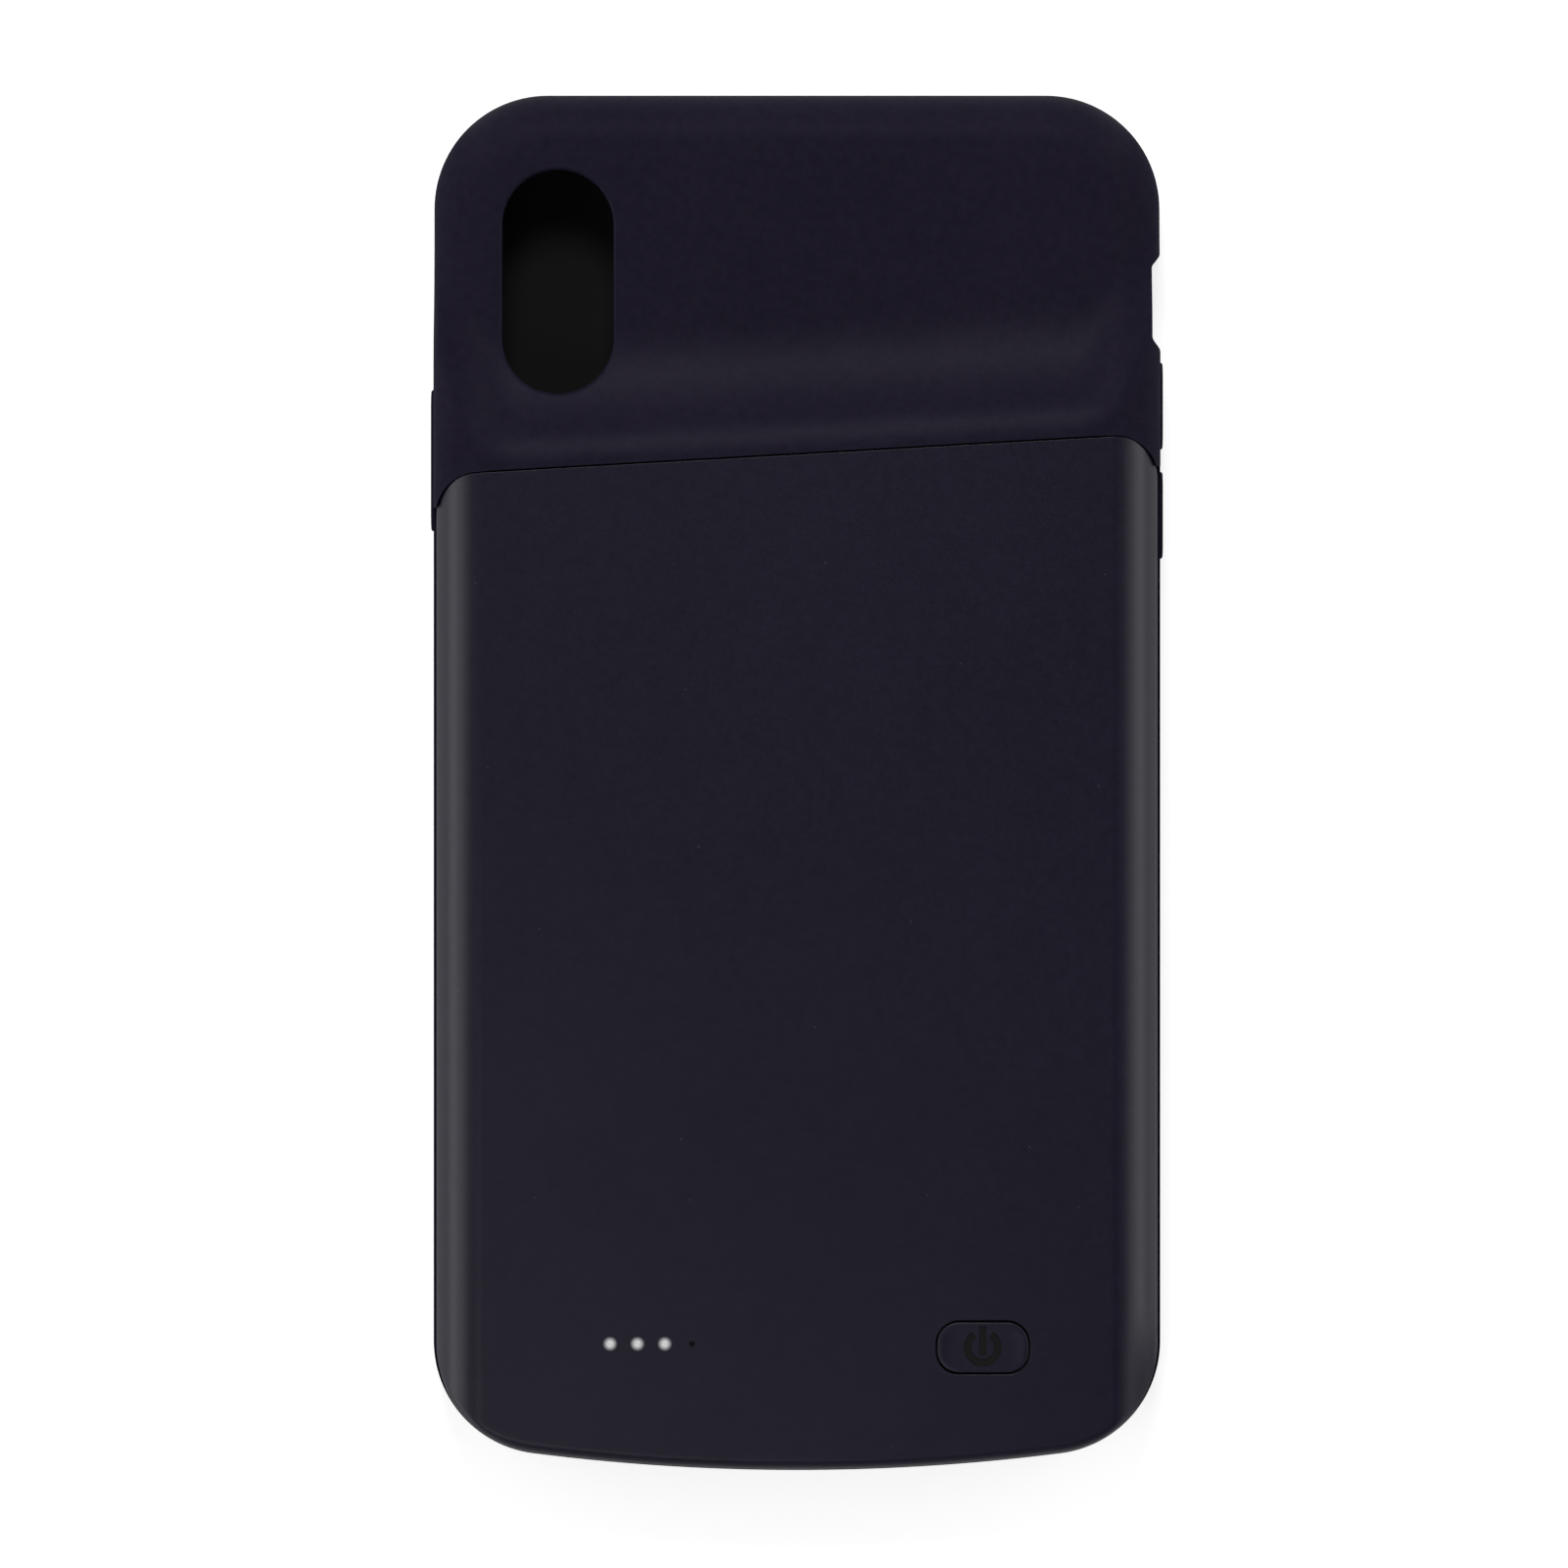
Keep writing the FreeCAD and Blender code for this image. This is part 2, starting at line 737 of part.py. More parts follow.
def make_power_button():
    """The key: a flush cap, a flange that stops it under the cover, and a stem."""
    x, y = button_place()
    flange_top = ceiling_z - button_stop_gap
    flange_low = flange_top - button_flange_thickness
    cap = rounded_block(x, y, button_length, button_width, button_corner, flange_low, back_z)
    cap = cap.makeChamfer(button_edge, edges_at(cap, back_z))
    flange = block(x, y, flange_low, button_length + 2 * (button_gap + button_flange),
                   button_width + 2 * (button_gap + button_flange), button_flange_thickness)
    stem = cylinder(x, y, switch_top() + plunger_rise, flange_low, plunger_radius)
    return cap.fuse([flange, stem]).removeSplitter()


def make_switch_body():
    """The tact switch's body, with the bore that its plunger slides in."""
    x, y = button_place()
    body = block(x, y, board_top_z, switch_size, switch_size, switch_height)
    bore = plunger_radius + plunger_clearance
    return body.cut(cylinder(x, y, board_top_z + switch_floor, switch_top() + 1, bore))


def make_switch_plunger():
    """The plunger that the key rests on."""
    x, y = button_place()
    low = board_top_z + switch_floor + button_travel + plunger_spare
    return cylinder(x, y, low, switch_top() + plunger_rise, plunger_radius)


def make_charge_chip():
    """The charge controller."""
    return block(0, board_centre_y(), board_top_z, chip_size, chip_size, chip_height)


def make_boost_inductor():
    """The power inductor beside the controller, with rounded corners."""
    return rounded_block(part_spacing, board_centre_y(), inductor_size, inductor_size, inductor_size / 5,
                         board_top_z, board_top_z + inductor_height)


def make_capacitors():
    """A row of small capacitors above the controller."""
    y = board_centre_y() + chip_size / 2 + capacitor_width * 2
    start = -(capacitor_count - 1) / 2 * capacitor_pitch
    size = capacitor_width, capacitor_length, capacitor_height
    return Part.makeCompound([
        block(start + index * capacitor_pitch, y, board_top_z, *size) for index in range(capacitor_count)])


def chin_board_span():
    """The lower and upper end of the chin's board."""
    return chin_floor_y() + chin_board_clearance, cavity_bottom - chin_wall - chin_board_clearance


def chin_board_z():
    """The underside of the chin's board, on the well's shelves."""
    return plug_z + plug_base_height / 2


def make_chin_board():
    """The small board that the plug and the port hang from."""
    low, high = chin_board_span()
    half = well_half_width - chin_board_clearance
    return box(-half, half, low, high, chin_board_z(), chin_board_z() + chin_board_thickness)


def make_plug_base():
    """The plug's moulded foot, in the wall between the chin and the device."""
    return box(-plug_base_width / 2, plug_base_width / 2, cavity_bottom - plug_base_depth, cavity_bottom,
               plug_z - plug_base_height / 2, chin_board_z())


def make_plug_shell():
    """The plug's oval metal sleeve, open towards the device."""
    y0, y1 = cavity_bottom, cavity_bottom + plug_length
    sleeve = pill_along_y(plug_width, plug_height, y0, y1, plug_z)
    hollow = pill_along_y(plug_width - 2 * plug_skin, plug_height - 2 * plug_skin, y0 - 1, y1 + 1, plug_z)
    return sleeve.cut(hollow)


def make_plug_liner():
    """The insulator inside the plug, with the slot for the device's contacts."""
    y0, y1 = cavity_bottom, cavity_bottom + plug_length - plug_skin
    liner = pill_along_y(plug_width - 2 * plug_skin, plug_height - 2 * plug_skin, y0, y1, plug_z)
    slot = pill_along_y(plug_width - 4 * plug_skin, plug_slot_height, y0 + port_base, y1 + 1, plug_z)
    return liner.cut(slot)


def port_mouth_y():
    """The charging port's mouth, at the chin's outer hard face."""
    return bottom_y + side_wall + fit_gap


def make_port_shell():
    """The charging port's oval metal sleeve."""
    y0, y1 = port_mouth_y(), port_mouth_y() + port_depth
    sleeve = pill_along_y(port_width, port_height, y0, y1, plug_z)
    hollow = pill_along_y(port_width - 2 * port_skin, port_height - 2 * port_skin, y0 - 1, y1 + 1, plug_z)
    return sleeve.cut(hollow)


def make_port_tongue():
    """The port's insulator: a base that closes the sleeve and the flat tongue with the contacts."""
    y0, y1 = port_mouth_y(), port_mouth_y() + port_depth
    base = pill_along_y(port_width - 2 * port_skin, port_height - 2 * port_skin, y1 - port_base, y1, plug_z)
    tongue = box(-port_tongue_width / 2, port_tongue_width / 2, y0 + port_tongue_setback, y1 - port_base / 2,
                 plug_z - port_tongue_thickness / 2, plug_z + port_tongue_thickness / 2)
    return base.fuse(tongue).removeSplitter()


def make_flex_cable():
    """The flat cable that folds from the chin's board up to the underside of the main board."""
    low, high = chin_board_span()
    z0, z1 = chin_board_z() + chin_board_thickness, board_z
    start, turn = low + chin_board_clearance, low + chin_board_clearance + flex_run
    outer, inner = (z1 - z0) / 2, (z1 - z0) / 2 - flex_thickness
    middle_z = (z0 + z1) / 2
    z2 = z0 + flex_thickness

    def at(y, z):
        return point(-flex_width / 2, y, z)

    edges = [line(at(start, z0), at(turn, z0)),
             Part.Arc(at(turn, z0), at(turn + outer, middle_z), at(turn, z1)).toShape(),
             line(at(turn, z1), at(start, z1)),
             line(at(start, z1), at(start, z1 - flex_thickness)),
             line(at(start, z1 - flex_thickness), at(turn, z1 - flex_thickness)),
             Part.Arc(at(turn, z1 - flex_thickness), at(turn + inner, middle_z), at(turn, z2)).toShape(),
             line(at(turn, z2), at(start, z2)),
             line(at(start, z2), at(start, z0))]
    return extrude(edges, point(flex_width, 0, 0))


pieces = {
    "soft_shell": make_soft_shell(),
    "battery_cover": make_battery_cover(),
    "inner_tray": make_inner_tray(),
    "battery_cell": make_battery_cell(),
    "cell_tape": make_cell_tape(),
    "cell_tabs": make_cell_tabs(),
    "protection_board": make_protection_board(),
    "lead_positive": make_lead(-1),
    "lead_negative": make_lead(1),
    "main_board": make_main_board(),
    "board_screws": make_board_screws(),
    "led_chips": make_led_chips(),
    "light_guide": make_light_guide(),
    "power_button": make_power_button(),
    "switch_body": make_switch_body(),
    "switch_plunger": make_switch_plunger(),
    "charge_chip": make_charge_chip(),
    "boost_inductor": make_boost_inductor(),
    "capacitors": make_capacitors(),
    "chin_board": make_chin_board(),
    "plug_base": make_plug_base(),
    "plug_shell": make_plug_shell(),
    "plug_liner": make_plug_liner(),
    "port_shell": make_port_shell(),
    "port_tongue": make_port_tongue(),
    "flex_cable": make_flex_cable(),
}

os.makedirs("parts", exist_ok=True)
for name, shape in pieces.items():
    shape.exportStep(f"parts/{name}.step")
    print(f"{name}: {len(shape.Solids)} solid, {shape.Volume:.1f} mm3, valid {shape.isValid()}")
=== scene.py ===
import logging
import math
from collections.abc import Callable, Iterable, Sequence
from dataclasses import dataclass, field
from enum import Enum

import bmesh
import bpy
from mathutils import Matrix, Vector


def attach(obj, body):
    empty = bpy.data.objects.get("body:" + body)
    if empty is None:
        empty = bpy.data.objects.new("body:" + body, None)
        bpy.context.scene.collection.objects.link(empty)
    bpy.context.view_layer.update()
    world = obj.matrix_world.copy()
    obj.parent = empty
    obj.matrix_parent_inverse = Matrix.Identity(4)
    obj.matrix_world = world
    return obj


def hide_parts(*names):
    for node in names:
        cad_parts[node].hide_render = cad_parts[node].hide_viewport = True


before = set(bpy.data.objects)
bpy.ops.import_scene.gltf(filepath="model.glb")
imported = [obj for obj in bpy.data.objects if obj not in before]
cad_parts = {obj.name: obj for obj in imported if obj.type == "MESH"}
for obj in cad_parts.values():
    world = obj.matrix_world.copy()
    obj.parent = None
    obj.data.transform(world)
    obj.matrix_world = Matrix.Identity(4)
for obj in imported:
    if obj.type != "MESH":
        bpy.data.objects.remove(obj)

logging.basicConfig(level=logging.INFO, format="%(name)s: %(message)s")
log = logging.getLogger("battery_case")

Spot = tuple[float, float]
Plan = list[Spot]
Point = tuple[float, float, float]
Ring = list[Point]
Span = tuple[float, float]
Run = tuple[float, float, int]
Colour = tuple[float, float, float]
Solid = bpy.types.Object
Material = bpy.types.Material
Socket = bpy.types.NodeSocket
Feeds = dict[str | int, Socket | Colour | float]

# Metres in a millimetre
MM: float = 0.001
# How far a cutting solid reaches past what it cuts, in millimetres
CLEAR: float = 1.0
# Vertices closer than this are one, in metres
TOUCHING: float = 2e-6
# The radius of the circle that a loft starts from, in metres
SEED: float = 0.01


class Side(Enum):
    """A long side of the case, as its back is seen."""

    LEFT = -1
    RIGHT = 1


class Light(Enum):
    """Whether a charge light is on."""

    LIT = 1
    DARK = 0


class Carve(Enum):
    """How a second solid changes a first."""

    TAKE_AWAY = "DIFFERENCE"
    ADD = "UNION"


class Ray(Enum):
    """The Light Path outputs that see the floor as plain white."""

    CAMERA = "Is Camera Ray"
    GLOSSY = "Is Glossy Ray"
    THROUGH = "Is Transmission Ray"


class Slope(Enum):
    """How a mapped value goes from one end of its range to the other."""

    STRAIGHT = "LINEAR"
    EASED = "SMOOTHSTEP"


class Sum(Enum):
    """An arithmetic step among shader nodes."""

    ADD = "ADD"
    LESS = "SUBTRACT"
    TIMES = "MULTIPLY"
    OVER = "DIVIDE"
    LOWEST = "MINIMUM"
    HIGHEST = "MAXIMUM"
    SIZE = "ABSOLUTE"


# Modelling steps


def clear_selection() -> None:
    """Leaves edit mode and deselects every object."""
    if bpy.context.object is not None and bpy.context.object.mode != "OBJECT":
        bpy.ops.object.mode_set(mode="OBJECT")
    bpy.ops.object.select_all(action="DESELECT")


def take_up(piece: Solid) -> None:
    """Makes one object the only selected one, and the active one.

    Args:
        piece: The object to work on.
    """
    clear_selection()
    piece.select_set(True)
    bpy.context.view_layer.objects.active = piece


def metres(point: Point) -> Vector:
    """Turns a point in millimetres into Blender's metres."""
    return Vector(point) * MM


def evenly(start: float, step: float, count: int) -> list[float]:
    """Evenly spaced numbers."""
    return [start + step * index for index in range(count)]


def quarter(steps: int) -> list[Span]:
    """A quarter turn in steps, each as 1 less its cosine and 1 less its sine."""
    angles = [math.radians(90 * step / steps) for step in range(steps + 1)]
    return [(1 - math.cos(angle), 1 - math.sin(angle)) for angle in angles]


def share_between(value: float, start: float, end: float) -> float:
    """How far a value has come from start to end, from 0 to 1."""
    return min(max((value - start) / (end - start), 0.0), 1.0)


def loft(name: str, rings: Sequence[Ring]) -> Solid:
    """Extrudes a filled circle through a list of rings into one closed solid.

    Args:
        name: The new object's name.
        rings: Closed rings in millimetres, all with the same number of points.

    Returns:
        The new object, at the origin.
    """
    clear_selection()
    bpy.ops.mesh.primitive_circle_add(vertices=len(rings[0]), radius=SEED, fill_type="NGON")
    piece = bpy.context.object
    piece.name = name
    piece.data.name = name
    bpy.ops.object.mode_set(mode="EDIT")
    for index, ring in enumerate(rings):
        if index:
            bpy.ops.mesh.extrude_region_move(TRANSFORM_OT_translate={"value": (0.0, 0.0, 0.0)})
        mesh = bmesh.from_edit_mesh(piece.data)
        cap = next(face for face in mesh.faces if face.select)
        for vert, point in zip(cap.verts, ring):
            vert.co = metres(point)
        bmesh.update_edit_mesh(piece.data)
    bpy.ops.mesh.select_all(action="SELECT")
    bpy.ops.mesh.normals_make_consistent(inside=False)
    bpy.ops.object.mode_set(mode="OBJECT")
    return piece


def slice_rows(piece: Solid, places: Iterable[Point], across: Point, above: float) -> None:
    """Cuts rows of new edges across the faces that reach above a height.

    Args:
        piece: The object to cut.
        places: A point in millimetres on each cutting plane.
        across: The planes' common normal.
        above: Only faces with a corner above this height, in millimetres, are cut.
    """
    take_up(piece)
    bpy.ops.object.mode_set(mode="EDIT")
    for place in places:
        mesh = bmesh.from_edit_mesh(piece.data)
        for face in mesh.faces:
            face.select_set(max(vert.co.z for vert in face.verts) > above * MM)
        bmesh.update_edit_mesh(piece.data)
        bpy.ops.mesh.bisect(plane_co=metres(place), plane_no=across, use_fill=False)
    bpy.ops.object.mode_set(mode="OBJECT")


def slice_columns(piece: Solid, columns: Iterable[float], above: float) -> None:
    """Cuts rows of edges along the case, at the same distances on both sides of its middle."""
    places = [(side.value * x, 0.0, 0.0) for x in columns for side in Side]
    slice_rows(piece, places, (1.0, 0.0, 0.0), above)


def reshape(piece: Solid, above: float, move: Callable[[Point], float]) -> None:
    """Lifts or lowers every vertex above a height.

    Args:
        piece: The object to change.
        above: The height, in millimetres, above which vertices move.
        move: Gives a vertex's lift in millimetres from its place.
    """
    for vert in piece.data.vertices:
        if vert.co.z > above * MM:
            vert.co.z += move(tuple(vert.co / MM)) * MM
    piece.data.update()


def carve(piece: Solid, tools: Iterable[Solid], how: Carve = Carve.TAKE_AWAY) -> None:
    """Joins tool solids to a piece or cuts them out of it, and removes the tools.

    Args:
        piece: The object to change.
        tools: Closed solids, used in order.
        how: Whether the tools are added or taken away.
    """
    for tool in tools:
        change = piece.modifiers.new("carve", "BOOLEAN")
        change.operation = how.value
        change.solver = "EXACT"
        change.object = tool
        take_up(piece)
        bpy.ops.object.modifier_apply(modifier=change.name)
        bpy.data.objects.remove(tool)


def settle(piece: Solid, crisp: float = 32.0, weight: int = 80) -> None:
    """Merges doubled vertices, shades a piece smooth and evens its normals.

    Args:
        piece: The finished mesh.
        crisp: Edges sharper than this, in degrees, stay crisp.
        weight: How strongly large faces lead the normals.
    """
    take_up(piece)
    bpy.ops.object.mode_set(mode="EDIT")
    bpy.ops.mesh.select_all(action="SELECT")
    bpy.ops.mesh.remove_doubles(threshold=TOUCHING)
    bpy.ops.mesh.dissolve_degenerate(threshold=TOUCHING)
    bpy.ops.object.mode_set(mode="OBJECT")
    bpy.ops.object.shade_smooth_by_angle(angle=math.radians(crisp))
    even = piece.modifiers.new("even_normals", "WEIGHTED_NORMAL")
    even.keep_sharp = True
    even.weight = weight
    bpy.ops.object.modifier_apply(modifier=even.name)
    clear_selection()


def merge(name: str, parts: Sequence[Solid]) -> Solid:
    """Joins loose solids into one object.

    Args:
        name: The joined object's name.
        parts: The solids to join.

    Returns:
        The joined object.
    """
    take_up(parts[0])
    for part in parts[1:]:
        part.select_set(True)
    bpy.ops.object.join()
    parts[0].name = name
    return parts[0]


def arc_points(x: float, y: float, radius: float, start: float, end: float, steps: int) -> Plan:
    """Points along an arc round a centre, both ends included, with its angles in degrees."""
    angles = [math.radians(start + (end - start) * index / steps) for index in range(steps + 1)]
    return [(x + radius * math.cos(angle), y + radius * math.sin(angle)) for angle in angles]


def circle(x: float, y: float, radius: float, steps: int, start: float = 0.0) -> Plan:
    """Points round a circle."""
    return arc_points(x, y, radius, start, start + 360, steps)[:-1]


def oval(x: float, y: float, length: float, width: float, corner: float, steps: int) -> Plan:
    """A rectangle with round corners, as points.

    Args:
        x: The centre.
        y: The centre.
        length: The size along X.
        width: The size along Y.
        corner: The corner radius, just under half the width for round ends.
        steps: The segments in each corner.

    Returns:
        The closed run of points, counter-clockwise.
    """
    dx, dy = length / 2 - corner, width / 2 - corner
    points = []
    for cx, cy, start in ((dx, dy, 0), (-dx, dy, 90), (-dx, -dy, 180), (dx, -dy, 270)):
        points += arc_points(x + cx, y + cy, corner, start, start + 90, steps)
    return points


def at_height(points: Iterable[Spot], z: float) -> Ring:
    """A flat ring at one height."""
    return [(x, y, z) for x, y in points]


def prism(name: str, points: Plan, low: float, high: float) -> Solid:
    """An upright solid with a given plan, from one height to another."""
    return loft(name, [at_height(points, low), at_height(points, high)])


# Sizes that several pieces share


@dataclass(frozen=True)
class CasePlan:
    """The case's outline, levels and seam, in millimetres."""

    width: float = 80.0
    length: float = 151.5
    corner: float = 12.5
    chin_bow: float = 1.75
    side_wall: float = 2.1
    lip: float = 1.2
    seat: float = 9.4
    thin_back: float = 11.4
    tray_top: float = 10.6
    ceiling: float = 14.7
    back: float = 16.0
    edge_round: float = 5.2
    seam_height: float = 35.9
    seam_angle: float = 3.28
    seam_corner: float = 4.6
    housing_inset: float = 0.35
    connector_height: float = 5.3
    corner_steps: int = 28
    bow_steps: int = 36

    @property
    def half(self) -> float:
        """Half the case's width."""
        return self.width / 2

    @property
    def top(self) -> float:
        """The camera end."""
        return self.length / 2

    @property
    def bottom(self) -> float:
        """The chin's end, at the middle of its bow."""
        return -self.length / 2

    @property
    def roll_start(self) -> float:
        """Where the housing's long edges begin to roll over."""
        return self.half - self.housing_inset - self.edge_round

    @property
    def along(self) -> Spot:
        """The direction along the seam."""
        angle = math.radians(self.seam_angle)
        return math.cos(angle), math.sin(angle)

    def seam_point(self, run: float, rise: float) -> Spot:
        """A point from its distances along the seam and across it, towards the camera end."""
        c, s = self.along
        return run * c - rise * s, self.seam_height + run * s + rise * c

    def past_seam(self, x: float, y: float) -> float:
        """How far a point lies past the seam, towards the camera end."""
        c, s = self.along
        return (y - self.seam_height) * c - x * s

    def lower_corner(self) -> tuple[float, float, float, float]:
        """The lower corners and the chin's bow.

        Returns:
            The corners' centre in x and y, the bow's radius, and the angle where the two meet, in degrees.
        """
        cx = self.half - self.corner
        cy = self.bottom + self.chin_bow + self.corner
        rise = cy - self.bottom
        bow = (cx**2 + rise**2 - self.corner**2) / (2 * self.chin_bow)
        meet = math.degrees(math.atan2(cy - self.bottom - bow, cx))
        return cx, cy, bow, meet

    def chin_points(self, inset: float) -> Plan:
        """The lower corners and the bow between them, from the left side round to the right.

        Args:
            inset: How far the line is moved inwards.

        Returns:
            The open run of points.
        """
        cx, cy, bow, meet = self.lower_corner()
        r = self.corner - inset
        points = arc_points(-cx, cy, r, 180, 180 - meet, self.corner_steps)[:-1]
        points += arc_points(0, self.bottom + bow, bow - inset, -180 - meet, meet, self.bow_steps)[:-1]
        return points + arc_points(cx, cy, r, meet, 0, self.corner_steps)

    def outline(self, inset: float) -> Plan:
        """The whole case's outline.

        Args:
            inset: How far it is moved inwards.

        Returns:
            The closed run of points, counter-clockwise.
        """
        cx, cy, r = self.half - self.corner, self.top - self.corner, self.corner - inset
        points = self.chin_points(inset) + arc_points(cx, cy, r, 0, 90, self.corner_steps)
        return points + arc_points(-cx, cy, r, 90, 180, self.corner_steps)

    def housing(self, inset: float) -> Plan:
        """The battery housing's outline, with round corners at the seam.

        Args:
            inset: How far it is moved inwards.

        Returns:
            The closed run of points, counter-clockwise.
        """
        r = self.seam_corner - inset
        points = self.chin_points(self.housing_inset + inset)
        c, s = self.along
        turn = 90 + self.seam_angle
        for side, start, end in ((Side.RIGHT, 0, turn), (Side.LEFT, turn, 180)):
            x = side.value * (self.half - self.housing_inset - inset - r)
            y = self.seam_height + (x * s - inset - r) / c
            points += arc_points(x, y, r, start, end, self.corner_steps // 2)
        return points


PLAN = CasePlan()


# Finishes


class NodeBench:
    """Adds and links the nodes of a material or a world."""

    # A Mix node's inputs and its output, when it mixes colours
    MIX_FACTOR, MIX_FIRST, MIX_SECOND, MIX_RESULT = 0, 6, 7, 2
    # How many finer layers soft clouds have
    CLOUD_DETAIL: float = 4.0
    # Speckles per metre, their finer layers and those layers' strength, then the contrast and the share
    SPECKLE: Point = (900.0, 6.0, 0.75)
    SPECKLE_SPAN: Span = (0.4, 0.6)
    SPECKLE_SHARE: float = 0.6

    def __init__(self, owner: Material | bpy.types.World, coordinates: str) -> None:
        """Takes up the nodes of an owner.

        Args:
            owner: The material or world.
            coordinates: The coordinates that its patterns follow.
        """
        owner.use_nodes = True
        self.tree = owner.node_tree
        self.place: Socket = self.node("ShaderNodeTexCoord", {}).outputs[coordinates]

    def feed(self, node: bpy.types.Node, values: Feeds) -> None:
        """Sets or links a node's inputs.

        Args:
            node: The node to feed.
            values: A number, a colour or a socket for each input.
        """
        for key, value in values.items():
            socket = node.inputs[key]
            if isinstance(value, Socket):
                self.tree.links.new(value, socket)
            else:
                socket.default_value = (*value, 1.0) if socket.type == "RGBA" else value

    def node(self, kind: str, values: Feeds, **settings: str) -> bpy.types.Node:
        """Adds a node.

        Args:
            kind: The node's type.
            values: What its inputs get.
            **settings: Its own settings.

        Returns:
            The new node.
        """
        made = self.tree.nodes.new(kind)
        for key, value in settings.items():
            setattr(made, key, value)
        self.feed(made, values)
        return made

    def noise(self, scale: float, detail: float = 3.0, rough: float = 0.55) -> Socket:
        """A noise pattern, from its bumps per metre, its finer layers and their strength."""
        values = {"Vector": self.place, "Scale": scale, "Detail": detail, "Roughness": rough}
        return self.node("ShaderNodeTexNoise", values).outputs["Fac"]

    def mottle(self, scale: float) -> Socket:
        """Soft clouds with a fine speckle in them.

        Args:
            scale: Clouds per metre.

        Returns:
            A value from 0 to 1.
        """
        clouds = self.spread(self.noise(scale, self.CLOUD_DETAIL), 0.0, 1.0 - self.SPECKLE_SHARE)
        speckle = self.spread(self.noise(*self.SPECKLE), 0.0, self.SPECKLE_SHARE, *self.SPECKLE_SPAN)
        return self.sums(Sum.ADD, clouds, speckle)

    def spread(self, value: Socket, low: float, high: float, start: float = 0.3, end: float = 0.7,
               slope: Slope = Slope.STRAIGHT) -> Socket:
        """Maps a value to a range.

        Args:
            value: The value to map.
            low: The result at the start.
            high: The result at the end.
            start: The value that gives low.
            end: The value that gives high.
            slope: How it goes from one to the other.

        Returns:
            The mapped value.
        """
        values = {"Value": value, "From Min": start, "From Max": end, "To Min": low, "To Max": high}
        return self.node("ShaderNodeMapRange", values, interpolation_type=slope.value).outputs["Result"]

    def fade(self, value: Socket, span: Span, low: float = 0.0, high: float = 1.0,
             slope: Slope = Slope.EASED) -> Socket:
        """A step from low to high between two distances in millimetres."""
        return self.spread(value, low, high, span[0] * MM, span[1] * MM, slope)

    def mix(self, factor: Socket, first: Colour | Socket, second: Colour) -> Socket:
        """Mixes two colours, from the first at 0 to the second at 1."""
        values = {self.MIX_FACTOR: factor, self.MIX_FIRST: first, self.MIX_SECOND: second}
        return self.node("ShaderNodeMix", values, data_type="RGBA").outputs[self.MIX_RESULT]

    def axis(self, name: str) -> Socket:
        """One coordinate, X, Y or Z."""
        return self.node("ShaderNodeSeparateXYZ", {0: self.place}).outputs[name]

    def sums(self, how: Sum, *values: Socket | float) -> Socket:
        """One arithmetic step with sockets or plain numbers."""
        return self.node("ShaderNodeMath", dict(enumerate(values)), operation=how.value).outputs[0]

    def from_axis(self, x: float, y: float) -> Socket:
        """The distance from an upright axis.

        Args:
            x: The axis in millimetres.
            y: The axis in millimetres.

        Returns:
            The distance in metres.
        """
        kind = "ShaderNodeVectorMath"
        flat = self.node(kind, {0: self.place, 1: (1.0, 1.0, 0.0)}, operation="MULTIPLY")
        gap = self.node(kind, {0: flat.outputs[0], 1: (x * MM, y * MM, 0.0)}, operation="DISTANCE")
        return gap.outputs["Value"]


class Paint(NodeBench):
    """The nodes of one new material, with its shader."""

    def __init__(self, name: str) -> None:
        """Starts a plain material.

        Args:
            name: The material's name.
        """
        self.material: Material = bpy.data.materials.new(name)
        super().__init__(self.material, "Object")
        self.shader = self.tree.nodes["Principled BSDF"]

    def surface(self, values: Feeds) -> None:
        """Sets or links the shader's inputs."""
        self.feed(self.shader, values)

    def bump(self, height: Socket, depth: float, strength: float) -> None:
        """Roughens the surface with a pattern of some depth in metres, of which a share shows."""
        values = {"Strength": strength, "Distance": depth, "Height": height}
        self.surface({"Normal": self.node("ShaderNodeBump", values).outputs["Normal"]})


@dataclass(frozen=True)
class Finish:
    """A named finish, which each kind fills in."""

    name: str

    def make(self) -> Material:
        """Builds the material.

        Returns:
            The finished material.
        """
        paint = Paint(self.name)
        self.fill(paint)
        return paint.material

    def fill(self, paint: Paint) -> None:
        """Fills in the shader, in each kind's own way."""
        raise NotImplementedError(self.name)


@dataclass(frozen=True)
class SoftSilicone(Finish):
    """Matt silicone with a fine grain and faint cloudy patches, duller at its handled sides and far end."""

    name: str = "soft_silicone"
    deep: Colour = (0.0094, 0.0078, 0.0179)
    pale: Colour = (0.0144, 0.0122, 0.0245)
    clouds: float = 60.0
    grain: Point = (5200.0, 2.0, 0.7)
    relief: Span = (2e-5, 0.25)
    rough: Span = (0.42, 0.50)
    specular: float = 0.085
    gleam: Colour = (0.85, 0.80, 1.0)
    edge: Span = (34.0, 37.5)
    far_end: Span = (66.0, 71.0)
    edge_rough: float = 0.35
    far_rough: float = 0.12

    def fill(self, paint: Paint) -> None:
        """Fills in the shader.

        Args:
            paint: The material's nodes.
        """
        grain = paint.noise(*self.grain)
        sides = paint.fade(paint.sums(Sum.SIZE, paint.axis("X")), self.edge, 0.0, self.edge_rough)
        tip = paint.fade(paint.axis("Y"), self.far_end, 0.0, self.far_rough)
        worn = paint.sums(Sum.HIGHEST, sides, tip)
        paint.surface({"Base Color": paint.mix(paint.mottle(self.clouds), self.deep, self.pale),
                       "Roughness": paint.sums(Sum.ADD, paint.spread(grain, *self.rough), worn),
                       "Specular IOR Level": self.specular, "Specular Tint": self.gleam})
        paint.bump(grain, *self.relief)


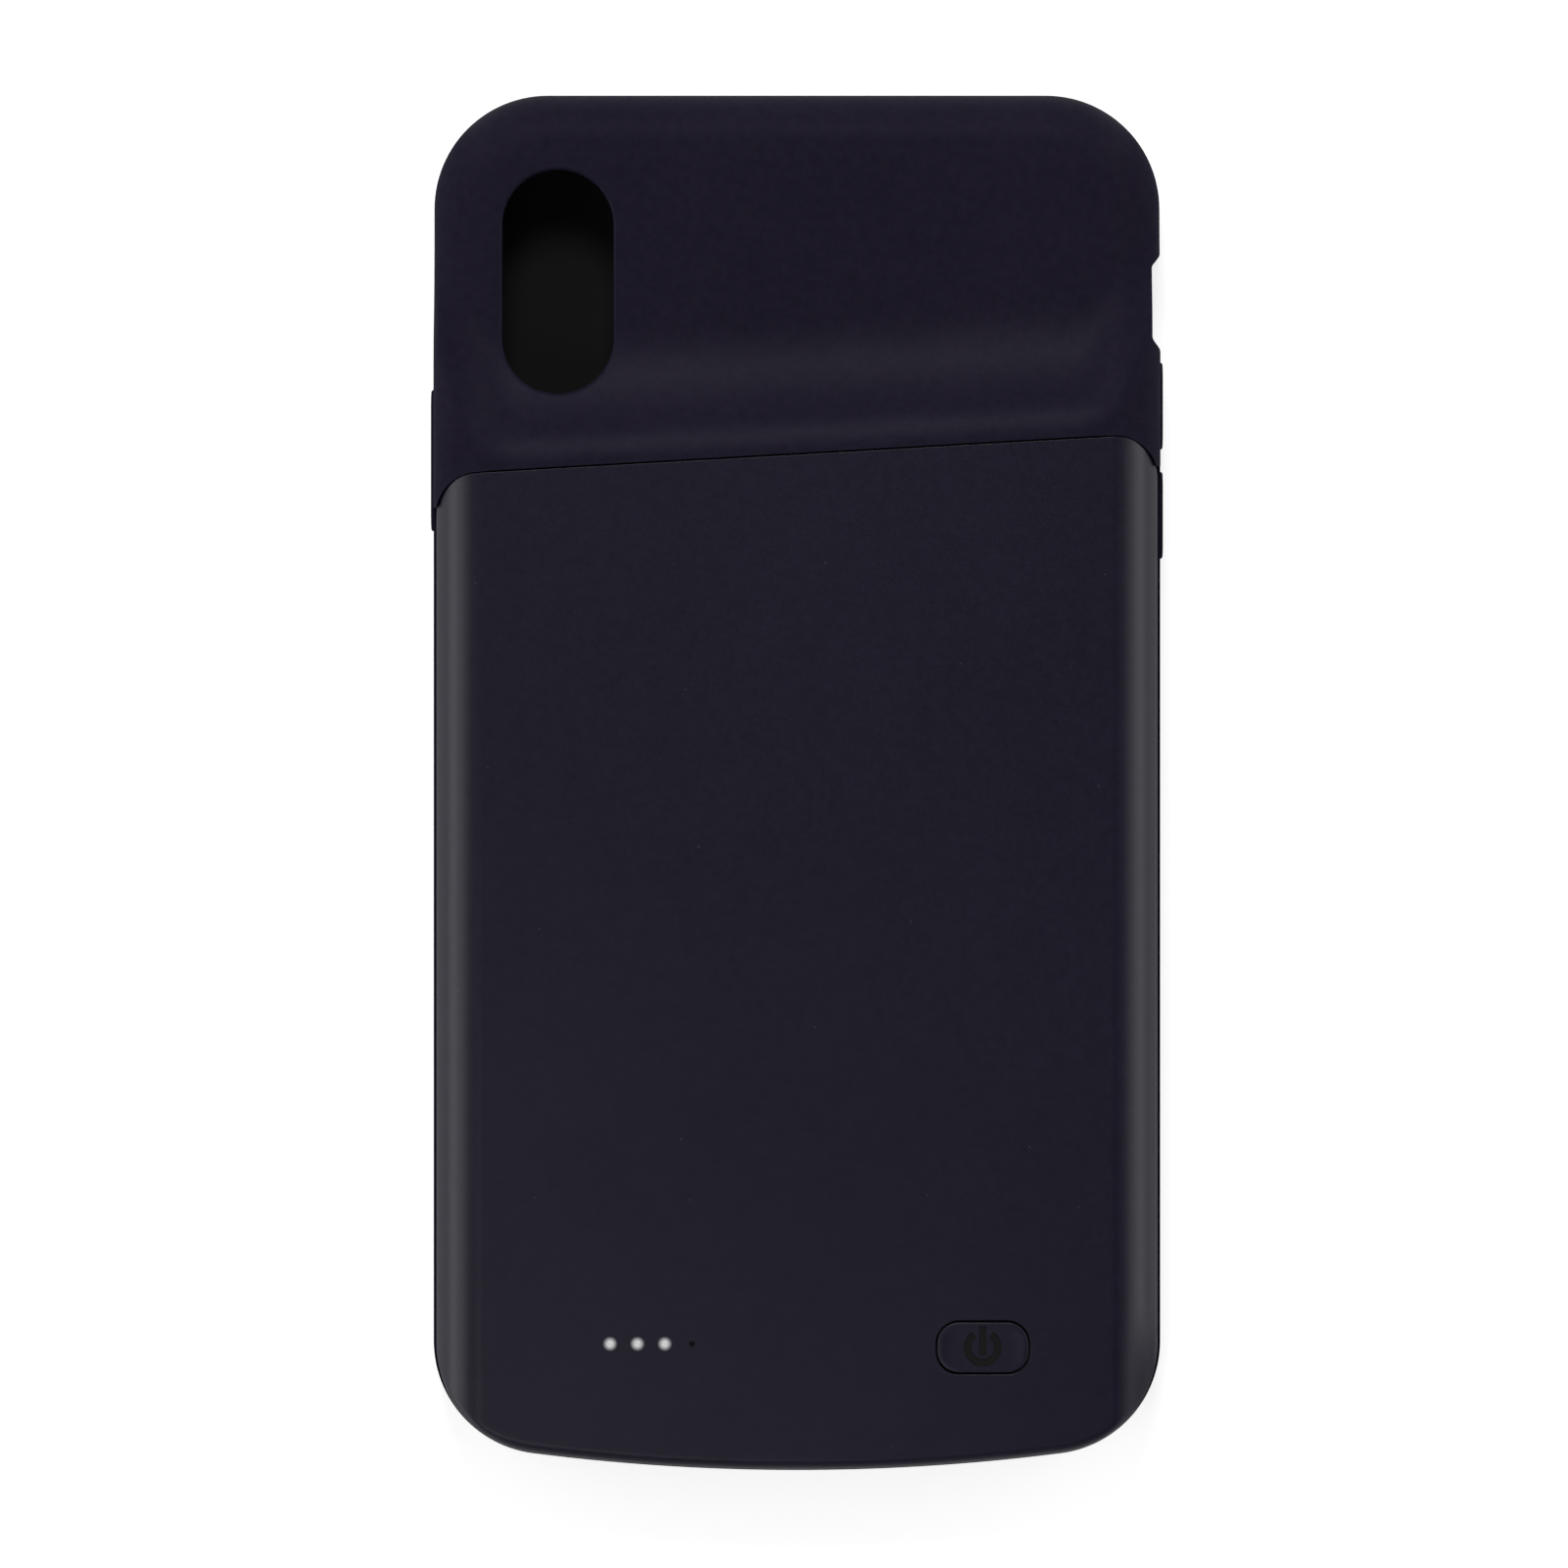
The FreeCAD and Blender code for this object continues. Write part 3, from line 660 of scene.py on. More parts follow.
@dataclass(frozen=True)
class SoftTouchCoat(Finish):
    """Satin soft-touch paint with fine grain, faint dust, and small lights that glow through it."""

    name: str = "soft_touch_coat"
    deep: Colour = (0.0039, 0.0024, 0.0129)
    pale: Colour = (0.0082, 0.0059, 0.0200)
    clouds: float = 45.0
    grain: Point = (6400.0, 2.0, 0.7)
    relief: Span = (1.6e-5, 0.2)
    dust: Colour = (0.055, 0.053, 0.06)
    dust_cells: float = 48.0
    dust_size: Span = (0.003, 0.007)
    dust_share: float = 0.6
    rough: Span = (0.31, 0.38)
    specular: float = 0.50
    edge: Span = (38.4, 39.6)
    edge_rough: float = 0.2
    low_corner: Span = (-72.0, -62.0)
    corner_slant: float = 0.15
    corner_across: Span = (35.0, 38.2)
    corner_up: Span = (11.0, 13.6)
    corner_rough: float = 0.42
    lights: tuple[Spot, ...] = ()
    glow: float = 0.56
    glow_size: Span = (0.16, 0.87)
    sign: Point | None = None
    sign_tint: Colour = (0.0008, 0.0006, 0.0016)
    sign_reach: Span = (2.75, 2.8)
    sign_foot: Span = (-0.3, -0.25)
    sign_top: float = 0.05

    def fill(self, paint: Paint) -> None:
        """Fills in the shader.

        Args:
            paint: The material's nodes.
        """
        grain = paint.noise(*self.grain)
        colour = self.dusted(paint, paint.mix(paint.mottle(self.clouds), self.deep, self.pale))
        if self.sign is not None:
            colour = paint.mix(self.sign_mask(paint), colour, self.sign_tint)
        rough = paint.sums(Sum.ADD, paint.spread(grain, *self.rough), self.wear(paint))
        paint.surface({"Base Color": colour, "Roughness": rough, "Specular IOR Level": self.specular})
        if self.lights:
            paint.surface({"Emission Color": self.glowing(paint), "Emission Strength": 1.0})
        paint.bump(grain, *self.relief)

    def wear(self, paint: Paint) -> Socket:
        """The dulled outermost sides and lower corners, where a hand holds the case.

        Args:
            paint: The material's nodes.

        Returns:
            The roughness to add.
        """
        x, y, z = (paint.axis(name) for name in "XYZ")
        across = paint.sums(Sum.SIZE, x)
        sides = paint.fade(across, self.edge, 0.0, self.edge_rough)
        down = paint.sums(Sum.LESS, y, paint.sums(Sum.TIMES, x, self.corner_slant))
        low = paint.fade(down, self.low_corner, self.corner_rough, 0.0)
        outer, upper = paint.fade(across, self.corner_across), paint.fade(z, self.corner_up)
        rolled = paint.sums(Sum.TIMES, outer, upper)
        return paint.sums(Sum.ADD, sides, paint.sums(Sum.TIMES, low, rolled))

    def dusted(self, paint: Paint, colour: Socket) -> Socket:
        """Adds a few tiny pale specks of dust.

        Args:
            paint: The material's nodes.
            colour: The colour under the dust.

        Returns:
            The dusted colour.
        """
        values = {"Vector": paint.place, "Scale": self.dust_cells}
        cells = paint.node("ShaderNodeTexVoronoi", values, feature="F1", voronoi_dimensions="2D")
        speck = paint.spread(cells.outputs["Distance"], 1.0, 0.0, *self.dust_size, Slope.EASED)
        return paint.mix(paint.sums(Sum.TIMES, speck, self.dust_share), colour, self.dust)

    def sign_mask(self, paint: Paint) -> Socket:
        """Marks the floor of the engraved sign.

        Args:
            paint: The material's nodes.

        Returns:
            1 on the sign's floor and 0 elsewhere.
        """
        x, y, floor = self.sign
        low, high = self.sign_foot
        height = paint.axis("Z")
        below = paint.fade(height, (floor, floor + self.sign_top), 1.0, 0.0, Slope.STRAIGHT)
        within = paint.fade(paint.from_axis(x, y), self.sign_reach, 1.0, 0.0, Slope.STRAIGHT)
        above = paint.fade(height, (floor + low, floor + high), 0.0, 1.0, Slope.STRAIGHT)
        return paint.sums(Sum.TIMES, paint.sums(Sum.TIMES, below, within), above)

    def glowing(self, paint: Paint) -> Socket:
        """The light round each lit pinhole.

        Args:
            paint: The material's nodes.

        Returns:
            The grey level that the coat gives off.
        """
        spots = [paint.fade(paint.from_axis(x, y), self.glow_size, self.glow, 0.0) for x, y in self.lights]
        total = spots[0]
        for spot in spots[1:]:
            total = paint.sums(Sum.HIGHEST, total, spot)
        return total


@dataclass(frozen=True)
class Moulding(Finish):
    """Plain moulded plastic, film or resin, with a fine grain and slight unevenness."""

    deep: Colour
    pale: Colour
    rough: Span = (0.42, 0.55)
    specular: float = 0.4
    grain: float = 3800.0
    depth: float = 1.5e-5
    strength: float = 0.25
    clouds: Span = (180.0, 4.0)
    layers: Span = (2.0, 0.65)

    def fill(self, paint: Paint) -> None:
        """Fills in the shader.

        Args:
            paint: The material's nodes.
        """
        cloud = paint.spread(paint.noise(*self.clouds), 0.0, 1.0)
        grain = paint.noise(self.grain, *self.layers)
        paint.surface({"Base Color": paint.mix(cloud, self.deep, self.pale),
                       "Roughness": paint.spread(grain, *self.rough), "Specular IOR Level": self.specular})
        paint.bump(grain, self.depth, self.strength)


@dataclass(frozen=True)
class DrawnMetal(Finish):
    """Plated sheet metal with fine drawing lines along Y."""

    deep: Colour = (0.42, 0.42, 0.43)
    pale: Colour = (0.62, 0.62, 0.63)
    rough: Span = (0.22, 0.38)
    lines: Span = (5000.0, 2.0)
    stretch: Point = (1.0, 0.06, 1.0)
    relief: Span = (5e-6, 0.2)

    def fill(self, paint: Paint) -> None:
        """Fills in the shader.

        Args:
            paint: The material's nodes.
        """
        values = {"Vector": paint.place, "Scale": self.stretch}
        paint.place = paint.node("ShaderNodeMapping", values).outputs["Vector"]
        lines = paint.noise(*self.lines)
        paint.surface({"Base Color": paint.mix(paint.spread(lines, 0.0, 1.0), self.deep, self.pale),
                       "Roughness": paint.spread(lines, *self.rough), "Metallic": 1.0})
        paint.bump(lines, *self.relief)


@dataclass(frozen=True)
class PouchFoil(Finish):
    """Laminated foil with shallow dents and a soft sheen."""

    name: str = "pouch_foil"
    deep: Colour = (0.38, 0.39, 0.41)
    pale: Colour = (0.55, 0.56, 0.58)
    dents: float = 140.0
    grain: float = 900.0
    rough: Span = (0.28, 0.45)
    metallic: float = 0.85
    relief: Span = (1.5e-4, 0.3)

    def fill(self, paint: Paint) -> None:
        """Fills in the shader.

        Args:
            paint: The material's nodes.
        """
        dents = paint.noise(self.dents)
        paint.surface({"Base Color": paint.mix(paint.spread(dents, 0.0, 1.0), self.deep, self.pale),
                       "Roughness": paint.spread(paint.noise(self.grain), *self.rough),
                       "Metallic": self.metallic})
        paint.bump(dents, *self.relief)


@dataclass(frozen=True)
class CircuitBoard(Finish):
    """Green solder mask with faint copper tracks under it."""

    name: str = "circuit_board"
    mask: Colour = (0.006, 0.055, 0.022)
    track: Colour = (0.016, 0.105, 0.040)
    brighter: float = 1.2
    tracks: float = 420.0
    track_width: float = 0.06
    grain: float = 2600.0
    rough: Span = (0.3, 0.42)
    relief: Span = (2e-5, 0.3)

    def fill(self, paint: Paint) -> None:
        """Fills in the shader.

        Args:
            paint: The material's nodes.
        """
        second = tuple(value * self.brighter for value in self.mask)
        tracks = paint.node("ShaderNodeTexBrick", {
            "Vector": paint.place, "Scale": self.tracks, "Mortar Size": self.track_width,
            "Color1": self.mask, "Color2": second, "Mortar": self.track})
        paint.surface({"Base Color": tracks.outputs["Color"],
                       "Roughness": paint.spread(paint.noise(self.grain), *self.rough)})
        paint.bump(tracks.outputs["Fac"], *self.relief)


@dataclass(frozen=True)
class ClearGuide(Finish):
    """Clear acrylic that carries light to the lit pinholes, with painted shade, a near-black colour, on the
    unlit light's tip.
    """

    name: str = "clear_guide"
    tint: Colour = (0.30, 0.31, 0.33)
    # A near-black colour: painted shade on the unlit light's tip
    unlit_tip_painted_shade: Colour = (0.004, 0.004, 0.006)
    dark_at: Spot = (0.0, 0.0)
    dark_size: Span = (1.2, 1.6)
    haze: float = 1500.0
    haze_range: Span = (0.85, 1.0)
    grain: float = 3000.0
    rough: Span = (0.12, 0.25)
    glow: float = 0.40

    def fill(self, paint: Paint) -> None:
        """Fills in the shader.

        Args:
            paint: The material's nodes.
        """
        # Near the unlit light the colour turns near-black, which is painted shade, and the glow stops
        near = paint.fade(paint.from_axis(*self.dark_at), self.dark_size, slope=Slope.STRAIGHT)
        haze = paint.spread(paint.noise(self.haze), *self.haze_range)
        paint.surface({
            "Base Color": paint.mix(paint.sums(Sum.TIMES, near, haze), self.unlit_tip_painted_shade, self.tint),
            "Roughness": paint.spread(paint.noise(self.grain), *self.rough),
            "Emission Color": paint.sums(Sum.TIMES, near, self.glow), "Emission Strength": 1.0})


@dataclass(frozen=True)
class StudioBoard(Finish):
    """Matt board, which can show white beside the light that falls on it."""

    tint: Colour
    glow: float = 0.0
    reflected_glow: float = 0.0
    grain: float = 900.0
    darker: float = 0.985
    rough: float = 0.9

    def fill(self, paint: Paint) -> None:
        """Fills in the shader.

        Args:
            paint: The material's nodes.
        """
        low = tuple(value * self.darker for value in self.tint)
        grain = paint.spread(paint.noise(self.grain), 0.0, 1.0)
        paint.surface({"Base Color": paint.mix(grain, low, self.tint), "Roughness": self.rough,
                       "Specular IOR Level": 0.0})
        if self.glow:
            paint.surface({"Emission Color": (1.0, 1.0, 1.0), "Emission Strength": self.seen(paint)})

    def seen(self, paint: Paint) -> Socket:
        """The white that the camera sees, also through clear things, and the little that gloss sees.

        Args:
            paint: The material's nodes.

        Returns:
            The emission strength.
        """
        path = paint.node("ShaderNodeLightPath", {})
        total: Socket | float = 0.0
        for ray in Ray:
            strength = self.reflected_glow if ray is Ray.GLOSSY else self.glow
            part = paint.sums(Sum.TIMES, path.outputs[ray.value], strength)
            total = paint.sums(Sum.HIGHEST, total, part)
        return total


def dress(piece: Solid, finish: Material) -> None:
    """Gives a piece one finish all over."""
    piece.data.materials.clear()
    piece.data.materials.append(finish)


# Sub-assemblies


@dataclass
class BackForm:
    """The height of the soft back: thin at the camera end, with a ramp up to the housing."""

    slope: float = 35.0
    crest: float = 7.4
    plateau: float = 0.25
    scoop_start: float = 29.6
    scoop_rate: float = 0.049
    scoop_power: float = 2.4
    scoop_limit: float = 12.0
    row_runs: tuple[Run, ...] = ((-9.0, 3.0, 3), (0.25, 0.45, 39), (18.5, 1.0, 10))
    column_run: Run = (29.2, 0.8, 9)

    def height(self, x: float, y: float) -> float:
        """The back's height over a point of the plan.

        Args:
            x: The point across the case.
            y: The point along the case.

        Returns:
            The height in millimetres, before the rolled edge.
        """
        past = max(abs(x) - self.scoop_start, 0.0)
        rise = PLAN.past_seam(x, y) - min(self.scoop_rate * past**self.scoop_power, self.scoop_limit)
        slope = math.radians(self.slope)
        hollow = (PLAN.back - PLAN.thin_back) / (1 - math.cos(slope)) - self.crest
        turn = self.plateau + self.crest * math.sin(slope)
        foot = turn + hollow * math.sin(slope)
        if rise <= self.plateau:
            return PLAN.back
        if rise <= turn:
            return PLAN.back - self.crest + math.sqrt(self.crest**2 - (rise - self.plateau) ** 2)
        if rise < foot:
            return PLAN.thin_back + hollow - math.sqrt(hollow**2 - (foot - rise) ** 2)
        return PLAN.thin_back

    def rows(self) -> list[float]:
        """Distances past the seam at which the back is sliced."""
        return [rise for run in self.row_runs for rise in evenly(*run)]


@dataclass
class SoftShell:
    """The one-piece silicone shell: rim, camera end, ramp, side pads and chin front."""

    form: BackForm = field(default_factory=BackForm)
    finish: SoftSilicone = field(default_factory=SoftSilicone)
    front_round: float = 1.3
    front_turns: int = 5
    back_turns: int = 14
    back_from: float = 5.0
    lip_overlap: float = 1.5
    front_mouth: tuple[Span, ...] = ((1.35, -1.0), (0.35, 0.0), (0.1, 0.12), (0.0, 0.35), (0.0, 1.7))
    front_steps: int = 16
    chin_length: float = 12.4
    inner_corner: float = 10.4
    camera: tuple[float, float, float, float] = (-26.3, 55.05, 12.2, 24.6)
    camera_round: float = 0.45
    camera_turns: int = 5
    camera_steps: int = 20
    camera_flare: float = 0.02
    camera_slack: float = 1e-4
    notch: Point = (52.75, 7.6, 1.7)
    notch_recess: float = 0.95
    notch_levels: Span = (2.4, 9.1)
    notch_steps: int = 10
    notch_corner: float = 0.8
    notch_turns: int = 6
    pads: tuple[tuple[Side, float, float], ...] = (
        (Side.LEFT, 35.5, 15.6), (Side.RIGHT, 41.5, 9.6), (Side.RIGHT, 29.45, 9.6))
    pad_height: float = 0.4
    pad_width: float = 3.4
    pad_root: float = 1.0
    pad_foot: float = 0.12
    pad_round: float = 0.24
    pad_turns: int = 4
    pad_steps: int = 10
    pad_shoulder: float = 0.28
    pad_crown: tuple[Span, ...] = ((0.75, 0.015), (1.3, 0.0))
    pad_web: float = 1.2
    pad_margin: float = 0.7
    slack: float = 1e-3
    rebate: tuple[float, float, float, float] = (66.2, -4.0, 6.1, 10.7)
    pegs: Point = (24.0, 3.0, 1.2)
    peg_height: float = 3.0
    peg_steps: int = 28
    port: Span = (12.54, 6.76)
    port_mouth: tuple[Span, ...] = ((0.3, -1.0), (0.3, 0.0), (0.08, 0.1), (0.0, 0.3), (0.0, 3.85))
    port_steps: int = 16
    slots: tuple[float, float, float, float, int] = (20.0, 2.6, 1.2, 3.8, 4)
    slot_corner: float = 0.35
    slot_steps: int = 4
    slot_rise: float = 6.6
    horn: float = 3.4
    seam_gap: float = 0.2
    corner_gap: float = 0.06
    gap_taper: Span = (32.5, 37.5)
    overlap: float = 0.01
    far: float = 200.0

    def build(self) -> Solid:
        """Models the shell.

        Returns:
            The finished piece.
        """
        shell = self.outer_block()
        carve(shell, [self.pad(*pad) for pad in self.pads], Carve.ADD)
        carve(shell, [self.housing_tool(), self.below_horns(),
                      prism("cavity_tool", PLAN.outline(PLAN.side_wall), PLAN.lip, PLAN.seat),
                      self.front_tool(), self.rebate_tool(), *self.notch_tools(), self.camera_tool(),
                      self.port_tool(), self.slot_tools()])
        carve(shell, [self.pocket(*pad) for pad in self.pads])
        settle(shell)
        shell.name = "silicone_shell"
        dress(shell, self.finish.make())
        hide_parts("soft_shell")
        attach(shell, "case")
        return shell

    def outer_block(self) -> Solid:
        """Models the outer form as a solid, with the rolled edge round its back.

        Returns:
            The block.
        """
        front, edge = self.front_round, PLAN.edge_round
        rings = [at_height(PLAN.outline(front * s), front * c) for c, s in quarter(self.front_turns)]
        for c, s in quarter(self.back_turns):
            rings.append(at_height(PLAN.outline(edge * c), PLAN.back - edge * s))
        block = loft("shell_block", rings)
        c, s = PLAN.along
        rows = [(*PLAN.seam_point(0, rise), 0.0) for rise in self.form.rows()]
        slice_rows(block, rows, (-s, c, 0.0), self.back_from)
        slice_columns(block, evenly(*self.form.column_run), PLAN.back - edge + self.overlap)
        reshape(block, self.back_from, lambda p: self.form.height(p[0], p[1]) - PLAN.back)
        return block

    def window(self, grow: float) -> Plan:
        """The camera window's plan.

        Args:
            grow: How far it is made larger all round.

        Returns:
            The closed run of points.
        """
        x, y, width, length = self.camera
        corner = width / 2 + grow - self.camera_slack
        return oval(x, y, width + 2 * grow, length + 2 * grow, corner, self.camera_steps)

    def camera_tool(self) -> Solid:
        """Models the camera window's space, with a mouth that rounds its edge along the ramp.

        Returns:
            The closed tool.
        """
        r = self.camera_round
        rings = [at_height(self.window(0.0), PLAN.seat - 2 * CLEAR)]
        for c, s in quarter(self.camera_turns):
            drop = r * s - self.overlap
            rings.append([(x, y, self.form.height(x, y) - drop) for x, y in self.window(r * c)])
        rings.append(at_height(self.window(r + self.camera_flare), PLAN.back + 4 * CLEAR))
        return loft("camera_tool", rings)

    def notch_tools(self) -> list[Solid]:
        """Models the side notch's space: a recess with eased ends, and a hole in its floor.

        Returns:
            The recess and the hole.
        """
        y, length, flare = self.notch
        floor, outside = PLAN.half - self.notch_recess, PLAN.half + 2 * CLEAR
        half = []
        for step in range(self.notch_steps + 1):
            share = step / self.notch_steps
            ease = share * share * (3 - 2 * share)
            half.append((floor + (PLAN.half - floor) * ease, length / 2 + flare * share))
        half.append((outside, length / 2 + flare))
        points = [(px, y - py) for px, py in half] + [(px, y + py) for px, py in reversed(half)]
        recess = prism("notch_recess", points, -CLEAR, PLAN.back + CLEAR)
        low, high = self.notch_levels
        corners = oval(y, (low + high) / 2, length, high - low, self.notch_corner, self.notch_turns)
        inner = PLAN.half - 2 * PLAN.side_wall
        hole = loft("notch_hole", [[(x, py, pz) for py, pz in corners] for x in (inner, outside)])
        return [recess, hole]

    def housing_tool(self) -> Solid:
        """Models the space that the housing fills, a seam's gap larger and closer at the corners.

        Returns:
            The closed tool.
        """
        start, end = self.gap_taper
        wide, near = PLAN.housing(-self.seam_gap), PLAN.housing(-self.corner_gap)
        points = []
        for index, (x, y) in enumerate(wide):
            share = share_between(abs(x), start, end)
            points.append((x + (near[index][0] - x) * share, y + (near[index][1] - y) * share))
            if y > 0 and x > 0 > wide[(index + 1) % len(wide)][0]:
                points += [PLAN.seam_point(run, self.seam_gap) for run in (start, -start)]
        return prism("housing_tool", points, PLAN.seat - self.overlap, PLAN.back + 2 * CLEAR)

    def below_horns(self) -> Solid:
        """Models everything above the seat and below the shell's side horns.

        Returns:
            The closed tool.
        """
        low, high = -self.horn - self.far, -self.horn
        corners = [PLAN.seam_point(run, rise) for run, rise in
                   ((-self.far, low), (self.far, low), (self.far, high), (-self.far, high))]
        return prism("horn_tool", corners, PLAN.seat - self.overlap, PLAN.back + 2 * CLEAR)

    def front_tool(self) -> Solid:
        """Models the opening between the front lips, with an eased mouth.

        Returns:
            The closed tool.
        """
        low = PLAN.bottom + self.chin_length + self.lip_overlap
        high = PLAN.top - PLAN.side_wall - self.lip_overlap
        width = PLAN.width - 2 * (PLAN.side_wall + self.lip_overlap)
        corner = self.inner_corner - self.lip_overlap
        rings = []
        for grow, z in self.front_mouth:
            size = (width + 2 * grow, high - low + 2 * grow, corner + grow)
            rings.append(at_height(oval(0, (low + high) / 2, *size, self.front_steps), z))
        return loft("front_tool", rings)

    def rebate_tool(self) -> Solid:
        """Models the space of the tray's flange, with holes where the soft pegs stand.

        Returns:
            The closed tool.
        """
        width, low, high, top = self.rebate
        corners = [PLAN.seam_point(run, rise) for run, rise in
                   ((-width / 2, low), (width / 2, low), (width / 2, high), (-width / 2, high))]
        tool = prism("rebate_tool", corners, PLAN.seat - CLEAR, top)
        spacing, rise, radius = self.pegs
        pegs = []
        for index in (-1, 0, 1):
            plan = circle(*PLAN.seam_point(index * spacing, rise), radius, self.peg_steps)
            pegs.append(prism("peg", plan, PLAN.seat, PLAN.seat + self.peg_height))
        carve(tool, pegs)
        return tool

    def port_tool(self) -> Solid:
        """Models the oval window round the charging port, with an eased mouth.

        Returns:
            The closed tool.
        """
        width, height = self.port
        points = oval(0, 0, width, height, height / 2 - self.slack, self.port_steps)
        rings = []
        for grow, depth in self.port_mouth:
            sx, sz = 1 + 2 * grow / width, 1 + 2 * grow / height
            y = PLAN.bottom + depth
            rings.append([(px * sx, y, PLAN.connector_height + pz * sz) for px, pz in points])
        return loft("port_tool", rings)

    def slot_tools(self) -> Solid:
        """Models the sound slots in the chin's front.

        Returns:
            All the slots as one tool.
        """
        offset, pitch, width, length, count = self.slots
        y = PLAN.bottom + self.slot_rise
        tools = []
        for side in Side:
            for index in range(count):
                x = side.value * offset + (index - (count - 1) / 2) * pitch
                plan = oval(x, y, width, length, self.slot_corner, self.slot_steps)
                tools.append(prism("slot", plan, -CLEAR, PLAN.lip + CLEAR / 2))
        return merge("slot_tools", tools)

    def pad_ring(self, side: Side, y: float, size: Span, shrink: float, x: float) -> Ring:
        """An oval ring on a side wall.

        Args:
            side: Which side it lies on.
            y: Its centre along the case.
            size: Its length along the case and its height.
            shrink: How far it is moved inwards.
            x: Its distance from the case's middle.

        Returns:
            The ring.
        """
        length, width = size
        corner = width / 2 - shrink - self.slack
        points = oval(0, 0, length - 2 * shrink, width - 2 * shrink, corner, self.pad_steps)
        return [(side.value * x, y + py, PLAN.connector_height + pz) for py, pz in points]

    def pad(self, side: Side, y: float, length: float) -> Solid:
        """Models one button pad, crowned and rounded, rooted in the wall.

        Args:
            side: Which side it lies on.
            y: Its centre along the case.
            length: Its length.

        Returns:
            The pad.
        """
        top, r = PLAN.half + self.pad_height, self.pad_round
        steps = [(0.0, PLAN.half - self.pad_root), (0.0, PLAN.half + self.pad_foot)]
        for turn in range(1, self.pad_turns + 1):
            angle = math.radians(90 * turn / self.pad_turns)
            steps.append((r * (1 - math.cos(angle)), top - self.pad_shoulder + r * math.sin(angle)))
        steps += [(shrink, top - drop) for shrink, drop in self.pad_crown]
        return loft("pad", [self.pad_ring(side, y, (length, self.pad_width), *step) for step in steps])

    def pocket(self, side: Side, y: float, length: float) -> Solid:
        """Models the hollow behind a button pad.

        Args:
            side: Which side it lies on.
            y: Its centre along the case.
            length: The pad's length.

        Returns:
            The closed tool.
        """
        size = (length - 2 * self.pad_margin, self.pad_width - 2 * self.pad_margin)
        ends = (PLAN.half - 2 * PLAN.side_wall, PLAN.half + self.pad_height - self.pad_web)
        return loft("pocket_tool", [self.pad_ring(side, y, size, 0.0, x) for x in ends])


@dataclass
class ChargeLights:
    """The row of charge lights in the cover."""

    first: float = -20.5
    pitch: float = 3.0
    rise: float = -61.6
    radius: float = 0.3
    steps: int = 24
    states: tuple[Light, ...] = (Light.LIT, Light.LIT, Light.LIT, Light.DARK)

    def places(self, wanted: Light | None = None) -> list[Spot]:
        """The centres of the lights in one state, or of all of them."""
        return [(self.first + index * self.pitch, self.rise) for index, state in enumerate(self.states)
                if wanted in (None, state)]


@dataclass
class PowerButton:
    """The key with its standby sign, flange and stem."""

    x: float = 20.4
    y: float = -62.0
    length: float = 9.9
    width: float = 5.45
    corner: float = 2.3
    corner_steps: int = 9
    gap: float = 0.26
    flange: float = 0.7
    stem: float = 1.0
    stem_turn: float = 45.0
    levels: Point = (13.7, 13.95, 14.65)
    edge: float = 0.1
    edge_turns: int = 4
    dish: tuple[Span, ...] = ((0.55, 0.015), (1.0, 0.04), (1.6, 0.06))
    mouth: tuple[Span, ...] = ((0.0, -0.06), (0.02, -0.02), (0.06, 0.0), (0.06, 1.0))
    ring_radius: float = 1.67
    ring_steps: int = 48
    stroke: float = 0.85
    sign_depth: float = 0.14
    sign_gap: float = 33.0
    bar: Span = (-0.86, 2.3)
    bar_corner: float = 0.12
    bar_steps: int = 4

    def plan(self, grow: float) -> Plan:
        """The key's plan, a rounded rectangle, made larger all round."""
        size = (self.length + 2 * grow, self.width + 2 * grow, self.corner + grow)
        return oval(self.x, self.y, *size, self.corner_steps)

    def build(self, finish: Material) -> Solid:
        """Models the key.

        Args:
            finish: Its coat, with the sign's dark floor.

        Returns:
            The finished piece.
        """
        low, foot, shoulder = self.levels
        plan, wide = self.plan(0.0), self.plan(self.gap + self.flange)
        count = len(plan)
        stem = circle(self.x, self.y, self.stem, count, self.stem_turn - 180 / count)
        start = min(range(count), key=lambda index: math.dist(stem[index], plan[0]))
        stem = stem[start:] + stem[:start]
        rings = [at_height(stem, low), at_height(stem, foot), at_height(wide, foot),
                 at_height(wide, shoulder), at_height(plan, shoulder)]
        for c, s in quarter(self.edge_turns):
            rings.append(at_height(self.plan(-self.edge * c), PLAN.back - self.edge * s))
        rings += [at_height(self.plan(-inset), PLAN.back - drop) for inset, drop in self.dish]
        key = loft("power_key", rings)
        carve(key, self.sign_tools())
        settle(key)
        key.name = "power_key"
        dress(key, finish)
        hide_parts("power_button")
        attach(key, "button")
        return key

    def sign_floor(self) -> float:
        """The height of the engraved sign's floor."""
        return PLAN.back - self.dish[-1][1] - self.sign_depth

    def sign_tools(self) -> list[Solid]:
        """Models the standby sign's strokes: an open ring and an upright bar.

        Returns:
            The two closed tools.
        """
        turn = (90 + self.sign_gap, 450 - self.sign_gap, self.ring_steps)
        points = arc_points(self.x, self.y, self.ring_radius + self.stroke / 2, *turn)
        points += reversed(arc_points(self.x, self.y, self.ring_radius - self.stroke / 2, *turn))
        low, high = self.bar
        size = (self.stroke, high - low, self.bar_corner)
        bar = oval(self.x, self.y + (low + high) / 2, *size, self.bar_steps)
        levels = (self.sign_floor(), PLAN.back + CLEAR)
        return [prism("sign_ring", points, *levels), prism("sign_bar", bar, *levels)]

    def hole(self) -> Solid:
        """Models the key's hole in the cover, with a softened mouth.

        Returns:
            The closed tool.
        """
        rings = [at_height(self.plan(self.gap), PLAN.ceiling - CLEAR)]
        rings += [at_height(self.plan(self.gap + grow), PLAN.back + rise) for grow, rise in self.mouth]
        return loft("key_hole", rings)


